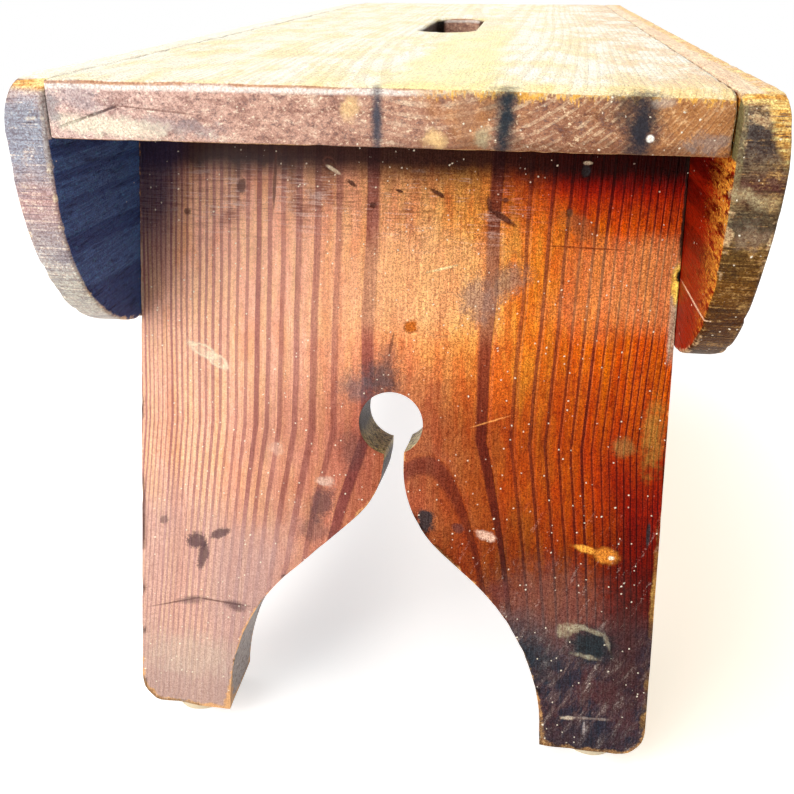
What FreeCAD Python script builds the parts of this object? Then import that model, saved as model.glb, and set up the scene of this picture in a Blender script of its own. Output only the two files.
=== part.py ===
import FreeCAD, Part
import math
import os

# A small farmhouse bench of nailed boards: a top board with a hand-hold slot lies between two
# side aprons, and two splayed board legs with a keyhole and an ogee arch stand between the aprons.
# X runs across the bench, Y along it and Z up. The origin is on the floor, under the middle.
# The front is the -Y end. All lengths are millimetres and all angles are degrees.

# Top board
top_length = 565.0
top_width = 209.4
top_thickness = 18.5
slot_length = 125.0
slot_width = 30.0
slot_rim_wear = 1.8
end_wear_left = 0.8
end_wear_right = 2.6

# Aprons
apron_depth = 101.0
apron_thickness = 12.5
apron_shoulder_radius = 10.0
apron_sweep_run = 62.0
apron_edge_wear = 1.5
apron_gap = 0.3
left_apron_overrun = 1.5
right_apron_overrun = 6.0

# Legs, whose outlines are measured down the board's outer face
leg_thickness = 27.5
leg_height = 245.5
leg_set_in = 68.4
splay_angle = 13.3
leg_side_clearance = 0.2
foot_width = 213.6
foot_corner_radius = 11.0
foot_inner_radius = 3.5

# Keyhole, measured up the board from the sole's outer edge
keyhole_diameter = 25.8
keyhole_height = 131.9
keyhole_offset = -1.2

# Arch, sawn by eye, so its two sides differ: distances out from the middle of the leg, the height
# at which the straight neck ends, the radii of the shoulder and haunch, and the slope between them
left_neck_edge = 3.6
left_foot_edge = 66.8
left_neck_end_height = 117.2
left_shoulder_radius = 36.0
left_haunch_radius = 80.0
left_arch_angle = 45.9
right_neck_edge = 4.6
right_foot_edge = 64.8
right_neck_end_height = 114.8
right_shoulder_radius = 46.0
right_haunch_radius = 86.0
right_arch_angle = 50.4

# Cut nails, sheared from plate
nail_plate_thickness = 2.2
nail_neck_width = 3.6
nail_tip_width = 1.6
nail_head_width = 5.6
nail_head_thickness = 1.2
nail_length = 44.0
nail_clearance = 0.1
nail_set_depth = 0.3
top_nail_inset = 30.0
top_nails_per_leg = 3
apron_nail_end_distance = 26.0
apron_nails_per_side = 5
leg_nail_first_drop = 30.0
leg_nail_pitch = 32.0
leg_nails_per_joint = 2

# Glides under the feet
glide_diameter = 22.0
glide_height = 6.5
glide_top_diameter = 20.6
glide_edge_bevel = 1.4
glide_bore_diameter = 7.0
glide_bore_depth = 2.4
glide_left_x = -84.0
glide_right_x = 86.0
pin_shank_diameter = 2.6
pin_head_diameter = 6.4
pin_head_thickness = 1.2
pin_length = 20.0

# One overrun lets every cutting tool run past the wood that it cuts
cut_overrun = 6.0

splay = math.radians(splay_angle)
sole_height = glide_height
underside = sole_height + leg_height
top_height = underside + top_thickness
half_length = top_length / 2
inner_half_width = top_width / 2 + apron_gap
leg_half_width = inner_half_width - leg_side_clearance
face_drop = leg_height / math.cos(splay)
apron_drop = (apron_depth - top_thickness) / math.cos(splay)
leg_spread = leg_thickness / math.cos(splay)

X = FreeCAD.Vector(1, 0, 0)
Y = FreeCAD.Vector(0, 1, 0)
Z = FreeCAD.Vector(0, 0, 1)
ORIGIN = FreeCAD.Vector(0, 0, 0)


def vec(x, y, z=0.0):
    return FreeCAD.Vector(x, y, z)


def line(a, b):
    return Part.LineSegment(a, b).toShape()


def arc(a, middle, b):
    return Part.Arc(a, middle, b).toShape()


def polar(centre, radius, degrees, across, up):
    """A point on a circle in the plane of the two directions given."""
    angle = math.radians(degrees)
    return centre + across * (radius * math.cos(angle)) + up * (radius * math.sin(angle))


def edges_where(shape, test):
    return [edge for edge in shape.Edges if test(edge)]


def at(value, place):
    """Whether a coordinate lies at a place, to within a hundredth of the glide's height."""
    return abs(value - place) < glide_height / 100


def spread(count, reach):
    """Even places from -reach to reach."""
    return [reach * (2 * i / (count - 1) - 1) for i in range(count)]


# Nails

def nail(grow=0.0, rise=0.0):
    """A cut nail along -Z with its head's top at the origin and its wide faces along Y."""
    head = nail_head_width / 2 + grow
    neck = nail_neck_width / 2 + grow
    tip = nail_tip_width / 2 + grow
    half = [vec(0, head, rise), vec(0, head, -nail_head_thickness),
            vec(0, neck, -nail_head_thickness), vec(0, tip, -nail_length - grow)]
    outline = half + [vec(0, -point.y, point.z) for point in reversed(half)]
    plate = nail_plate_thickness + 2 * grow
    face = Part.Face(Part.makePolygon(outline + outline[:1]))
    face.translate(X * (-plate / 2))
    return face.extrude(X * plate)


def nail_hole():
    """The hole that a nail leaves, open above its set head."""
    return nail(nail_clearance, nail_set_depth + cut_overrun)


def placed(shape, place, inward):
    """The shape moved so that its head is at a place and its point looks inward."""
    copy = shape.copy()
    copy.Placement = FreeCAD.Placement(place, FreeCAD.Rotation(-Z, inward)) * shape.Placement
    return copy


def top_nail_places(end):
    """Heads of the nails that go down through the top into one leg, centred along the nail."""
    lean = (nail_length - top_thickness) * math.tan(splay) / 2
    y = end * (half_length - leg_set_in - leg_spread / 2 + lean)
    z = top_height - nail_set_depth
    return [vec(x, y, z) for x in spread(top_nails_per_leg, leg_half_width - top_nail_inset)]


def apron_nail_places(side):
    """Heads of the nails that go through an apron into the edge of the top board."""
    x = side * (inner_half_width + apron_thickness - nail_set_depth)
    z = top_height - top_thickness / 2
    reach = half_length - apron_nail_end_distance
    return [vec(x, y, z) for y in spread(apron_nails_per_side, reach)]


def leg_nail_places(side, end):
    """Heads of the nails that go through an apron into the edge of one leg."""
    x = side * (inner_half_width + apron_thickness - nail_set_depth)
    places = []
    for i in range(leg_nails_per_joint):
        drop = leg_nail_first_drop + leg_nail_pitch * i
        back = leg_set_in + leg_spread / 2 - drop * math.tan(splay)
        places.append(vec(x, end * (half_length - back), underside - drop))
    return places


def nails(places, inward):
    return Part.makeCompound([placed(nail(), place, inward) for place in places])


def drilled(wood, places, inward):
    """The wood with a hole at each place."""
    for place in places:
        wood = wood.cut(placed(nail_hole(), place, inward))
    return wood


# Top board

def slot_tool():
    """A round-ended slot along the bench."""
    radius = slot_width / 2
    reach = slot_length / 2 - radius
    low = underside - cut_overrun
    near = vec(0, -reach, low)
    far = vec(0, reach, low)
    wire = Part.Wire([
        line(vec(radius, -reach, low), vec(radius, reach, low)),
        arc(vec(radius, reach, low), polar(far, radius, 90, X, Y), vec(-radius, reach, low)),
        line(vec(-radius, reach, low), vec(-radius, -reach, low)),
        arc(vec(-radius, -reach, low), polar(near, radius, 270, X, Y), vec(radius, -reach, low)),
    ])
    return Part.Face(wire).extrude(Z * (top_thickness + 2 * cut_overrun))


def wear_tool(end):
    """A wedge that takes off the top edge of one end, more at the right than at the left."""
    corners = []
    for side, wear in ((-1, end_wear_left), (1, end_wear_right)):
        x = side * (top_width / 2 + cut_overrun)
        inner = half_length - wear - cut_overrun
        high = vec(x, end * inner, top_height + cut_overrun)
        low = vec(x, end * (half_length + cut_overrun), top_height - wear - cut_overrun)
        corners += [high, low] if side < 0 else [low, high]
    face = Part.Face(Part.makePolygon(corners + corners[:1]))
    return face.extrude((Y * end + Z) * cut_overrun)


def top_board():
    corner = vec(-top_width / 2, -half_length, underside)
    board = Part.makeBox(top_width, top_length, top_thickness, corner)
    for end in (-1, 1):
        board = board.cut(wear_tool(end))
    board = board.cut(slot_tool())
    rim = edges_where(board, lambda e: abs(e.CenterOfMass.y) < slot_length / 2
                      and abs(e.CenterOfMass.x) < slot_width
                      and (at(e.BoundBox.ZMin, top_height) or at(e.BoundBox.ZMax, underside)))
    board = board.makeChamfer(slot_rim_wear, rim)
    for end in (-1, 1):
        board = drilled(board, top_nail_places(end), -Z)
    for side in (-1, 1):
        board = drilled(board, apron_nail_places(side), X * -side)
    return board


# Aprons

def apron(side, overrun):
    """A side apron: round shoulders at the top and a compass sweep under each end."""
    inner = side * inner_half_width
    end = half_length + overrun
    shoulder = apron_shoulder_radius
    sweep = apron_sweep_run + overrun
    bottom = top_height - apron_depth
    edges = [line(vec(inner, shoulder - end, top_height), vec(inner, end - shoulder, top_height)),
             line(vec(inner, sweep - end, bottom), vec(inner, end - sweep, bottom))]
    for way in (-1, 1):
        high = vec(inner, way * (end - shoulder), top_height - shoulder)
        low = vec(inner, way * (end - sweep), bottom + sweep)
        out = Y * way
        edges.append(arc(polar(high, shoulder, 90, out, Z), polar(high, shoulder, 45, out, Z),
                         polar(high, shoulder, 0, out, Z)))
        edges.append(line(polar(high, shoulder, 0, out, Z), polar(low, sweep, 0, out, Z)))
        edges.append(arc(polar(low, sweep, 0, out, Z), polar(low, sweep, -45, out, Z),
                         polar(low, sweep, -90, out, Z)))
    wire = Part.Wire(Part.__sortEdges__(edges))
    board = Part.Face(wire).extrude(X * (side * apron_thickness))
    outer = inner + side * apron_thickness
    board = board.makeChamfer(apron_edge_wear, edges_where(
        board, lambda e: at(e.BoundBox.XMin, outer) and at(e.BoundBox.XMax, outer)))
    board = drilled(board, apron_nail_places(side), X * -side)
    for way in (-1, 1):
        board = drilled(board, leg_nail_places(side, way), X * -side)
    return board


# Legs

def arch_side(side, neck_edge, foot_edge, neck_end_height, shoulder_radius, haunch_radius, slope):
    """One side of the arch from the keyhole to below the sole: neck, shoulder, slope, haunch."""
    turn = math.radians(slope)
    neck = side * neck_edge
    foot = side * foot_edge
    bends = (shoulder_radius + haunch_radius) * (1 - math.cos(turn))
    slant = (foot_edge - neck_edge - bends) / math.sin(turn)
    start = face_drop - neck_end_height

    def shoulder(angle):
        return vec(neck + side * shoulder_radius * (1 - math.cos(angle)),
                   start + shoulder_radius * math.sin(angle))

    join = shoulder(turn)
    haunch_start = join + vec(side * slant * math.sin(turn), slant * math.cos(turn))
    foot_start = haunch_start.y + haunch_radius * math.sin(turn)

    def haunch(angle):
        return vec(foot - side * haunch_radius * (1 - math.cos(angle)),
                   foot_start - haunch_radius * math.sin(angle))

    top = vec(neck, face_drop - keyhole_height)
    corner = vec(foot, max(face_drop, foot_start) + cut_overrun)
    edges = [line(top, vec(neck, start)),
             arc(vec(neck, start), shoulder(turn / 2), join),
             line(join, haunch_start),
             arc(haunch_start, haunch(turn / 2), haunch(0)),
             line(haunch(0), corner)]
    return edges, top, corner


def arch_tool():
    """The ogee arch with its neck, through the board's thickness."""
    left, left_top, left_corner = arch_side(
        -1, left_neck_edge, left_foot_edge, left_neck_end_height,
        left_shoulder_radius, left_haunch_radius, left_arch_angle)
    right, right_top, right_corner = arch_side(
        1, right_neck_edge, right_foot_edge, right_neck_end_height,
        right_shoulder_radius, right_haunch_radius, right_arch_angle)
    low = max(left_corner.y, right_corner.y)
    left_low = vec(left_corner.x, low)
    right_low = vec(right_corner.x, low)
    edges = left + right + [line(left_top, right_top), line(left_low, right_low)]
    edges += [line(corner, end) for corner, end in ((left_corner, left_low), (right_corner, right_low))
              if corner.y < low]
    face = Part.Face(Part.Wire(Part.__sortEdges__(edges)))
    face.translate(Z * -cut_overrun)
    return face.extrude(Z * (leg_thickness + 2 * cut_overrun))


def keyhole_tool():
    place = vec(keyhole_offset, face_drop - keyhole_height, -cut_overrun)
    return Part.makeCylinder(keyhole_diameter / 2, leg_thickness + 2 * cut_overrun, place)


def leg_blank():
    """The board before its ends are cut level: straight between the aprons, then flared."""
    rise = -leg_thickness * math.tan(splay) - cut_overrun
    fall = face_drop + cut_overrun
    half_foot = foot_width / 2
    flare = (half_foot - leg_half_width) / (face_drop - apron_drop)
    half_fall = half_foot + flare * cut_overrun
    points = [vec(-leg_half_width, rise), vec(leg_half_width, rise),
              vec(leg_half_width, apron_drop), vec(half_fall, fall),
              vec(-half_fall, fall), vec(-leg_half_width, apron_drop)]
    face = Part.Face(Part.makePolygon(points + points[:1]))
    return face.extrude(Z * leg_thickness)


def leg():
    """The front leg, splayed outward at the foot, its top and sole cut level."""
    board = leg_blank().cut(arch_tool()).cut(keyhole_tool())
    turn = FreeCAD.Rotation(X, -90 - splay_angle)
    board.Placement = FreeCAD.Placement(vec(0, leg_set_in - half_length, underside), turn)
    level = Part.makeBox(foot_width + 2 * cut_overrun, half_length + cut_overrun, leg_height,
                         vec(-foot_width / 2 - cut_overrun, -half_length - cut_overrun, sole_height))
    board = board.common(level)

    middle = (left_foot_edge + foot_width / 2) / 2

    def sole_edges(inside):
        return edges_where(board, lambda e: at(e.BoundBox.ZMin, sole_height)
                           and at(e.BoundBox.ZMax, sole_height)
                           and e.BoundBox.YLength > leg_thickness / 2
                           and (abs(e.CenterOfMass.x) < middle) == inside)

    board = board.makeFillet(foot_corner_radius, sole_edges(False))
    return board.makeFillet(foot_inner_radius, sole_edges(True))


def finished_leg(end):
    """One leg with its nail holes and glide pin holes, at the front (-1) or rear (1)."""
    board = leg()
    if end > 0:
        board = board.mirror(ORIGIN, Y)
    board = drilled(board, top_nail_places(end), -Z)
    for side in (-1, 1):
        board = drilled(board, leg_nail_places(side, end), X * -side)
    for x in (glide_left_x, glide_right_x):
        hole = Part.makeCylinder(pin_shank_diameter / 2 + nail_clearance,
                                 pin_length + nail_clearance, vec(x, glide_y(end), 0))
        board = board.cut(hole)
    return board


# Glides

def glide_y(end):
    """The middle of the sole's thickness."""
    return end * (half_length - leg_set_in + leg_height * math.tan(splay) - leg_spread / 2)


def glide(x, end):
    """A round nail-on pad with a bevelled lower edge and a bore for its pin's head."""
    top_radius = glide_top_diameter / 2
    radius = glide_diameter / 2
    bore = glide_bore_diameter / 2
    hole = pin_shank_diameter / 2 + nail_clearance
    outline = [vec(hole, 0, glide_height), vec(top_radius, 0, glide_height),
               vec(radius, 0, glide_edge_bevel), vec(radius - glide_edge_bevel, 0, 0),
               vec(bore, 0, 0), vec(bore, 0, glide_bore_depth), vec(hole, 0, glide_bore_depth)]
    pad = Part.Face(Part.makePolygon(outline + outline[:1])).revolve(ORIGIN, Z, 360)
    pad.translate(vec(x, glide_y(end)))
    return pad


def glide_pin(x, end):
    """The steel pin through a pad, its head up in the bore and its point in the foot."""
    shank = pin_shank_diameter / 2
    head = pin_head_diameter / 2
    seat = glide_bore_depth
    outline = [vec(0, 0, seat - pin_head_thickness), vec(head, 0, seat - pin_head_thickness),
               vec(head, 0, seat), vec(shank, 0, seat),
               vec(shank, 0, pin_length - pin_shank_diameter), vec(0, 0, pin_length)]
    pin = Part.Face(Part.makePolygon(outline + outline[:1])).revolve(ORIGIN, Z, 360)
    pin.translate(vec(x, glide_y(end)))
    return pin


# The pieces

sides = {"left": (-1, left_apron_overrun, glide_left_x), "right": (1, right_apron_overrun, glide_right_x)}
ends = {"front": -1, "rear": 1}

pieces = {"top_board": top_board()}
for side_name, (side, overrun, glide_x) in sides.items():
    inward = X * -side
    pieces[side_name + "_apron"] = apron(side, overrun)
    pieces[side_name + "_apron_top_nails"] = nails(apron_nail_places(side), inward)
    joint_places = leg_nail_places(side, -1) + leg_nail_places(side, 1)
    pieces[side_name + "_apron_leg_nails"] = nails(joint_places, inward)
for end_name, end in ends.items():
    pieces[end_name + "_leg"] = finished_leg(end)
    pieces[end_name + "_leg_top_nails"] = nails(top_nail_places(end), -Z)
    for side_name, (side, overrun, glide_x) in sides.items():
        pieces[end_name + "_" + side_name + "_glide"] = glide(glide_x, end)
pieces["glide_pins"] = Part.makeCompound(
    [glide_pin(x, end) for x in (glide_left_x, glide_right_x) for end in ends.values()])

os.makedirs("parts", exist_ok=True)
for name, shape in pieces.items():
    shape.exportStep("parts/" + name + ".step")
    print(name, "solids", len(shape.Solids), "volume", round(shape.Volume), "valid", shape.isValid())
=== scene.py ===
import logging
import math
from dataclasses import dataclass, replace
from enum import Enum

import bmesh
import bpy
from mathutils import Matrix, Vector, kdtree, noise


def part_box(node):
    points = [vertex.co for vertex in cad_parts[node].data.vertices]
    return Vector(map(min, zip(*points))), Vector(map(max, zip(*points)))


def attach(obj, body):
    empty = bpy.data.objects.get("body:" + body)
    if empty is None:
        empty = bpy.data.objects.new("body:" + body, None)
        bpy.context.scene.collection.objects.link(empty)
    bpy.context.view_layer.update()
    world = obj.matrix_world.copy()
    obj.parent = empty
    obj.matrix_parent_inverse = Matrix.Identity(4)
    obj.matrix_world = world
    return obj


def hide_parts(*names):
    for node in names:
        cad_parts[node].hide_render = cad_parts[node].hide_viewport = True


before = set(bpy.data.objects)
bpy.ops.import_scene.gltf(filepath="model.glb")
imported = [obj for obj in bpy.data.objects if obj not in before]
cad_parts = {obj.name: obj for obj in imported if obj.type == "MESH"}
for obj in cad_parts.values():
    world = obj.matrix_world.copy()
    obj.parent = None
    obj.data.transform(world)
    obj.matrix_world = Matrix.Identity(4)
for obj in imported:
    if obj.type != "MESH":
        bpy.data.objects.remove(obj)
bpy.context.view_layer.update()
log = logging.getLogger("bench")

# The dressed bench: five worn pine boards, four glides and the nails that show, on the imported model.
# Lengths are metres. A board has its own directions: across, into its outer face, and up its grain.

Tone = tuple[float, float, float]
Spot = tuple[float, float, float]


class Way(Enum):
    """The two ends of the bench as signs along Y."""

    FRONT = -1
    REAR = 1


class Side(Enum):
    """The two sides of the bench as signs along X."""

    LEFT = -1
    RIGHT = 1


def rgba(tone: Tone) -> tuple[float, float, float, float]:
    """The tone with full alpha, as colour sockets take it."""
    return (*tone, 1.0)


# Shaders

class Value:
    """One output of a node, with the arithmetic that masks are written in."""

    def __init__(self, shader: "Shader", socket: bpy.types.NodeSocket) -> None:
        """Keeps the shader that new Math nodes go to."""
        self.shader = shader
        self.socket = socket

    def __add__(self, other: "Value | float") -> "Value":
        """Sum."""
        return self.shader.math("ADD", self, other)

    def __sub__(self, other: "Value | float") -> "Value":
        """Difference."""
        return self.shader.math("SUBTRACT", self, other)

    def __rsub__(self, other: float) -> "Value":
        """Difference from a number."""
        return self.shader.math("SUBTRACT", other, self)

    def __mul__(self, other: "Value | float") -> "Value":
        """Product."""
        return self.shader.math("MULTIPLY", self, other)

    def __pow__(self, other: "Value | float") -> "Value":
        """Power."""
        return self.shader.math("POWER", self, other)

    def __abs__(self) -> "Value":
        """Size without the sign."""
        return self.shader.math("ABSOLUTE", self)

    __radd__ = __add__
    __rmul__ = __mul__


class Shader:
    """The node tree of one finish, or of the world."""

    def __init__(self, owner: bpy.types.Material | bpy.types.World) -> None:
        """Empties the owner's tree.

        Args:
            owner: The new material or world.
        """
        owner.use_nodes = True
        self.owner = owner
        self.tree = owner.node_tree
        self.tree.nodes.clear()

    def node(self, kind: str, settings: dict | None = None, inputs: dict | None = None,
             output: str | int = 0) -> Value:
        """Makes any node.

        Args:
            kind: The node's type.
            settings: Its properties, with a ramp's stops under "stops".
            inputs: Numbers, tones or values for its sockets.
            output: The output that is wanted.

        Returns:
            That output.
        """
        made = self.tree.nodes.new(kind)
        for name, setting in (settings or {}).items():
            if name == "stops":
                self.set_stops(made.color_ramp, setting)
            else:
                setattr(made, name, setting)
        for name, given in (inputs or {}).items():
            if isinstance(given, Value):
                self.tree.links.new(given.socket, made.inputs[name])
            else:
                made.inputs[name].default_value = given
        return Value(self, made.outputs[output])

    @staticmethod
    def set_stops(ramp: bpy.types.ColorRamp, stops: list[tuple[float, Tone]]) -> None:
        """Gives a ramp its stops, in order.

        Args:
            ramp: The ramp of a node.
            stops: Positions and tones, in order.
        """
        while len(ramp.elements) < len(stops):
            ramp.elements.new(1.0)
        for element, (position, tone) in zip(ramp.elements, stops):
            element.position = position
            element.color = rgba(tone)

    def math(self, operation: str, first: Value | float, second: Value | float = 0.0) -> Value:
        """A Math node on values or numbers."""
        return self.node("ShaderNodeMath", {"operation": operation}, {0: first, 1: second})

    def vector_math(self, operation: str, first: Value, second: Value | Spot,
                    output: str = "Vector") -> Value:
        """A Vector Math node."""
        return self.node("ShaderNodeVectorMath", {"operation": operation}, {0: first, 1: second}, output)

    def span(self, value: Value, low: float, high: float) -> Value:
        """Rises smoothly from 0 at low to 1 at high, or falls where high is below low."""
        return self.node("ShaderNodeMapRange", {"interpolation_type": "SMOOTHSTEP"},
                         {"Value": value, "From Min": low, "From Max": high})

    def noise(self, vector: Value, scale: float, detail: float = 2.0, rough: float = 0.5,
              output: str = "Fac") -> Value:
        """Cloudy noise."""
        return self.node("ShaderNodeTexNoise", None,
                         {"Vector": vector, "Scale": scale, "Detail": detail, "Roughness": rough}, output)

    def cells(self, vector: Value, scale: float, output: str = "Distance") -> Value:
        """Scattered points, as the distance to the nearest or its random colour."""
        return self.node("ShaderNodeTexVoronoi", None, {"Vector": vector, "Scale": scale}, output)

    def mapped(self, vector: Value, location: Spot = (0, 0, 0), rotation: Spot = (0, 0, 0),
               scale: Spot = (1, 1, 1), kind: str = "POINT") -> Value:
        """A Mapping node."""
        return self.node("ShaderNodeMapping", {"vector_type": kind},
                         {"Vector": vector, "Location": location, "Rotation": rotation, "Scale": scale})

    def place(self) -> Value:
        """Object coordinates."""
        return self.node("ShaderNodeTexCoord", None, None, "Object")

    def ray(self, kind: str) -> Value:
        """Whether the ray that looks is of a kind."""
        return self.node("ShaderNodeLightPath", None, None, f"Is {kind} Ray")

    def part(self, vector: Value, axis: str) -> Value:
        """One part of a vector."""
        return self.node("ShaderNodeSeparateXYZ", None, {0: vector}, axis)

    def channel(self, colour: Value, name: str) -> Value:
        """One channel of a colour."""
        return self.node("ShaderNodeSeparateColor", None, {0: colour}, name)

    def drift(self, vector: Value, reach: tuple[float, float], detail: float, rough: float) -> Value:
        """A small random shift across and into a board, up to the reach each way."""
        cloud = self.noise(vector, 1.0, detail, rough, "Color")
        shifts = [(self.channel(cloud, name) - 0.5) * (size * 2)
                  for name, size in zip(("Red", "Green"), reach)]
        return self.node("ShaderNodeCombineXYZ", None, {0: shifts[0], 1: shifts[1]})

    def random(self, value: Value) -> Value:
        """A random number for each whole value."""
        return self.node("ShaderNodeTexWhiteNoise", {"noise_dimensions": "1D"}, {"W": value})

    def attribute(self, name: str) -> Value:
        """A number that the mesh holds."""
        return self.node("ShaderNodeAttribute", {"attribute_name": name}, None, "Fac")

    def tint(self, factor: Value | float, first: Value | Tone, second: Value | Tone,
             blend: str = "MIX") -> Value:
        """Blends two colours by a factor, held to 0..1."""
        colours = [given if isinstance(given, Value) else rgba(given) for given in (first, second)]
        return self.node("ShaderNodeMix", {"data_type": "RGBA", "blend_type": blend, "clamp_factor": True},
                         {0: factor, 6: colours[0], 7: colours[1]}, 2)

    def glaze(self, factor: Value | float, colour: Value | Tone, tone: Value | Tone) -> Value:
        """Multiplies a colour by a tone, as a thin glaze over it does, where the factor is 1."""
        return self.tint(factor, colour, tone, "MULTIPLY")

    def ramp(self, value: Value, stops: list[tuple[float, Tone]]) -> Value:
        """A colour ramp."""
        return self.node("ShaderNodeValToRGB", {"stops": stops}, {"Fac": value})

    def bump(self, height: Value, depth: float) -> Value:
        """A bumped normal, for a height from 0 to 1 that stands for a depth in metres."""
        return self.node("ShaderNodeBump", None, {"Strength": 1.0, "Distance": depth, "Height": height},
                         "Normal")

    def surface(self, colour: Value, roughness: Value | float, normal: Value | None = None,
                **constants: float) -> bpy.types.Material:
        """Ends the tree with a Principled shader.

        Args:
            colour: The base colour.
            roughness: The roughness.
            normal: A bumped normal.
            constants: Other sockets by name, with underscores for spaces.

        Returns:
            The finished material.
        """
        inputs = {"Base Color": colour, "Roughness": roughness}
        if normal is not None:
            inputs["Normal"] = normal
        inputs.update({name.replace("_", " "): number for name, number in constants.items()})
        shaded = self.node("ShaderNodeBsdfPrincipled", None, inputs)
        self.finish(shaded)
        return self.owner

    def finish(self, shaded: Value, kind: str = "ShaderNodeOutputMaterial") -> None:
        """Leads a shader to the surface."""
        out = self.tree.nodes.new(kind)
        self.tree.links.new(shaded.socket, out.inputs["Surface"])


# Wood

@dataclass(frozen=True)
class Mark:
    """A stain, chip, dent or scuff on one face of a board.

    The place and reach are across, into the face and up the board.
    """

    place: Spot
    reach: Spot
    tone: Tone
    turn: Spot = (0.0, 0.0, 0.0)
    ragged: float = 0.7
    soft: float = 0.3
    strength: float = 1.0
    sink: float = 0.0
    hollow: float = 0.0

    def mask(self, shader: Shader, space: Value, edge: Value) -> Value:
        """Covers the mark's ellipse, or only its rim where it is hollow.

        Args:
            shader: The tree that the nodes go to.
            space: Board directions.
            edge: Noise about 0 that frays the outline.

        Returns:
            The mask, from 0 to its strength.
        """
        wide = (self.reach[0] * 3, self.reach[1] * 3, self.reach[2] * 3)
        local = shader.mapped(space, self.place, self.turn, wide, "TEXTURE")
        near = shader.node("ShaderNodeTexGradient", {"gradient_type": "SPHERICAL"}, {"Vector": local}, "Fac")
        near = near - edge * (self.ragged / 3)
        cover = shader.span(near, (2 - self.soft) / 3, (2 + self.soft) / 3)
        if self.hollow:
            inner = 3 - self.hollow
            cover = cover * shader.span(near, (inner + self.soft) / 3, (inner - self.soft) / 3)
        return cover * self.strength


@dataclass(frozen=True)
class Rings:
    """The growth rings that a board was sawn across.

    The heart of the tree runs up the board at a place across and behind its face, and leans by a small
    slope. The rings get closer with their radius in millimetres, by a power of it. Right of the heart
    they draw together down to the knee by the fan, and the first one there is dark over a band. Below
    the knee the heart rises towards the face. Where the rings are close, more of each one is dark.
    """

    heart: tuple[float, float] = (0.0130, 0.174)
    lean: float = 0.0
    fan: float = 0.8
    knee: float = 0.125
    rise: float = 0.048
    rate: float = 4.43e-13
    power: float = 6.0
    first: float = 6.80
    sway: tuple[float, float] = (0.0020, 0.00030)
    dark_share: float = 0.25
    band: float = 0.06
    close_more: float = 0.20

    def count(self, shader: Shader, space: Value) -> tuple[Value, Value]:
        """Counts rings outwards from the heart.

        Args:
            shader: The tree that the nodes go to.
            space: Board directions.

        Returns:
            The count, whole at each ring's dark outer edge, and the dark share of a ring.
        """
        slope = math.atan(self.lean)
        across, depth = self.heart
        location = (-across, -depth * math.cos(slope), -depth * math.sin(slope))
        slow = shader.mapped(space, (0.31, 0.17, 0.05), scale=(11.0, 11.0, 3.2))
        swing = shader.drift(slow, self.sway, 2.0, 0.4)
        shiver = shader.drift(shader.mapped(space, scale=(150.0, 150.0, 24.0)), (0.00045, 0.00006), 2.0, 0.6)
        heart = shader.mapped(space, location, (slope, 0, 0))
        heart = shader.vector_math("ADD", shader.vector_math("ADD", heart, swing), shiver)
        beside = shader.part(heart, "X")
        right = shader.math("MAXIMUM", beside, 0.0)
        up = shader.part(space, "Z")
        fanned = beside - right * ((shader.math("MAXIMUM", up, -self.knee) - 0.05) * self.fan)
        behind = shader.part(heart, "Y") - shader.math("MINIMUM", up + self.knee, 0.0) * self.rise
        flat = shader.node("ShaderNodeCombineXYZ", None, {0: fanned * 1000.0, 1: behind * 1000.0})
        radius = shader.vector_math("LENGTH", flat, (0, 0, 0), "Value")
        band = shader.span(fanned, 0.036, 0.028) * shader.span(fanned, 0.0, 0.012) * self.band
        close = shader.span(fanned, -0.010, -0.050) * self.close_more
        return (radius ** self.power) * self.rate + self.first, band + close + self.dark_share


@dataclass(frozen=True)
class Grain:
    """A board's shader and directions, and what its rings and fibres come to at each place."""

    shader: Shader
    space: Value
    late: Value
    glint: Value
    chance: Value
    fibre: Value
    grit: Value
    cloud: Value
    fray: Value

    @property
    def across(self) -> Value:
        """Metres right of the board's middle line."""
        return self.shader.part(self.space, "X")

    @property
    def deep(self) -> Value:
        """Metres into the board from its face."""
        return self.shader.part(self.space, "Y")

    @property
    def up(self) -> Value:
        """Metres up the board, which is along the bench where it lies flat."""
        return self.shader.part(self.space, "Z")

    def wander(self, size: float) -> Value:
        """The clouds about 0, to let a mask's edge wander."""
        return (self.cloud - 0.5) * size

    def noise(self, scale: Spot, detail: float, rough: float, start: Spot = (0, 0, 0),
              turn: Spot = (0, 0, 0)) -> Value:
        """Cloudy noise with a scale of its own in each of the board's directions.

        Args:
            scale: Clouds to a metre across, into and up the board.
            detail: How many finer layers it has.
            rough: How strong those are.
            start: Where in the noise the board begins.
            turn: The slant of the clouds.

        Returns:
            The noise, from 0 to 1.
        """
        return self.shader.noise(self.shader.mapped(self.space, start, turn, scale), 1.0, detail, rough)


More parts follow.
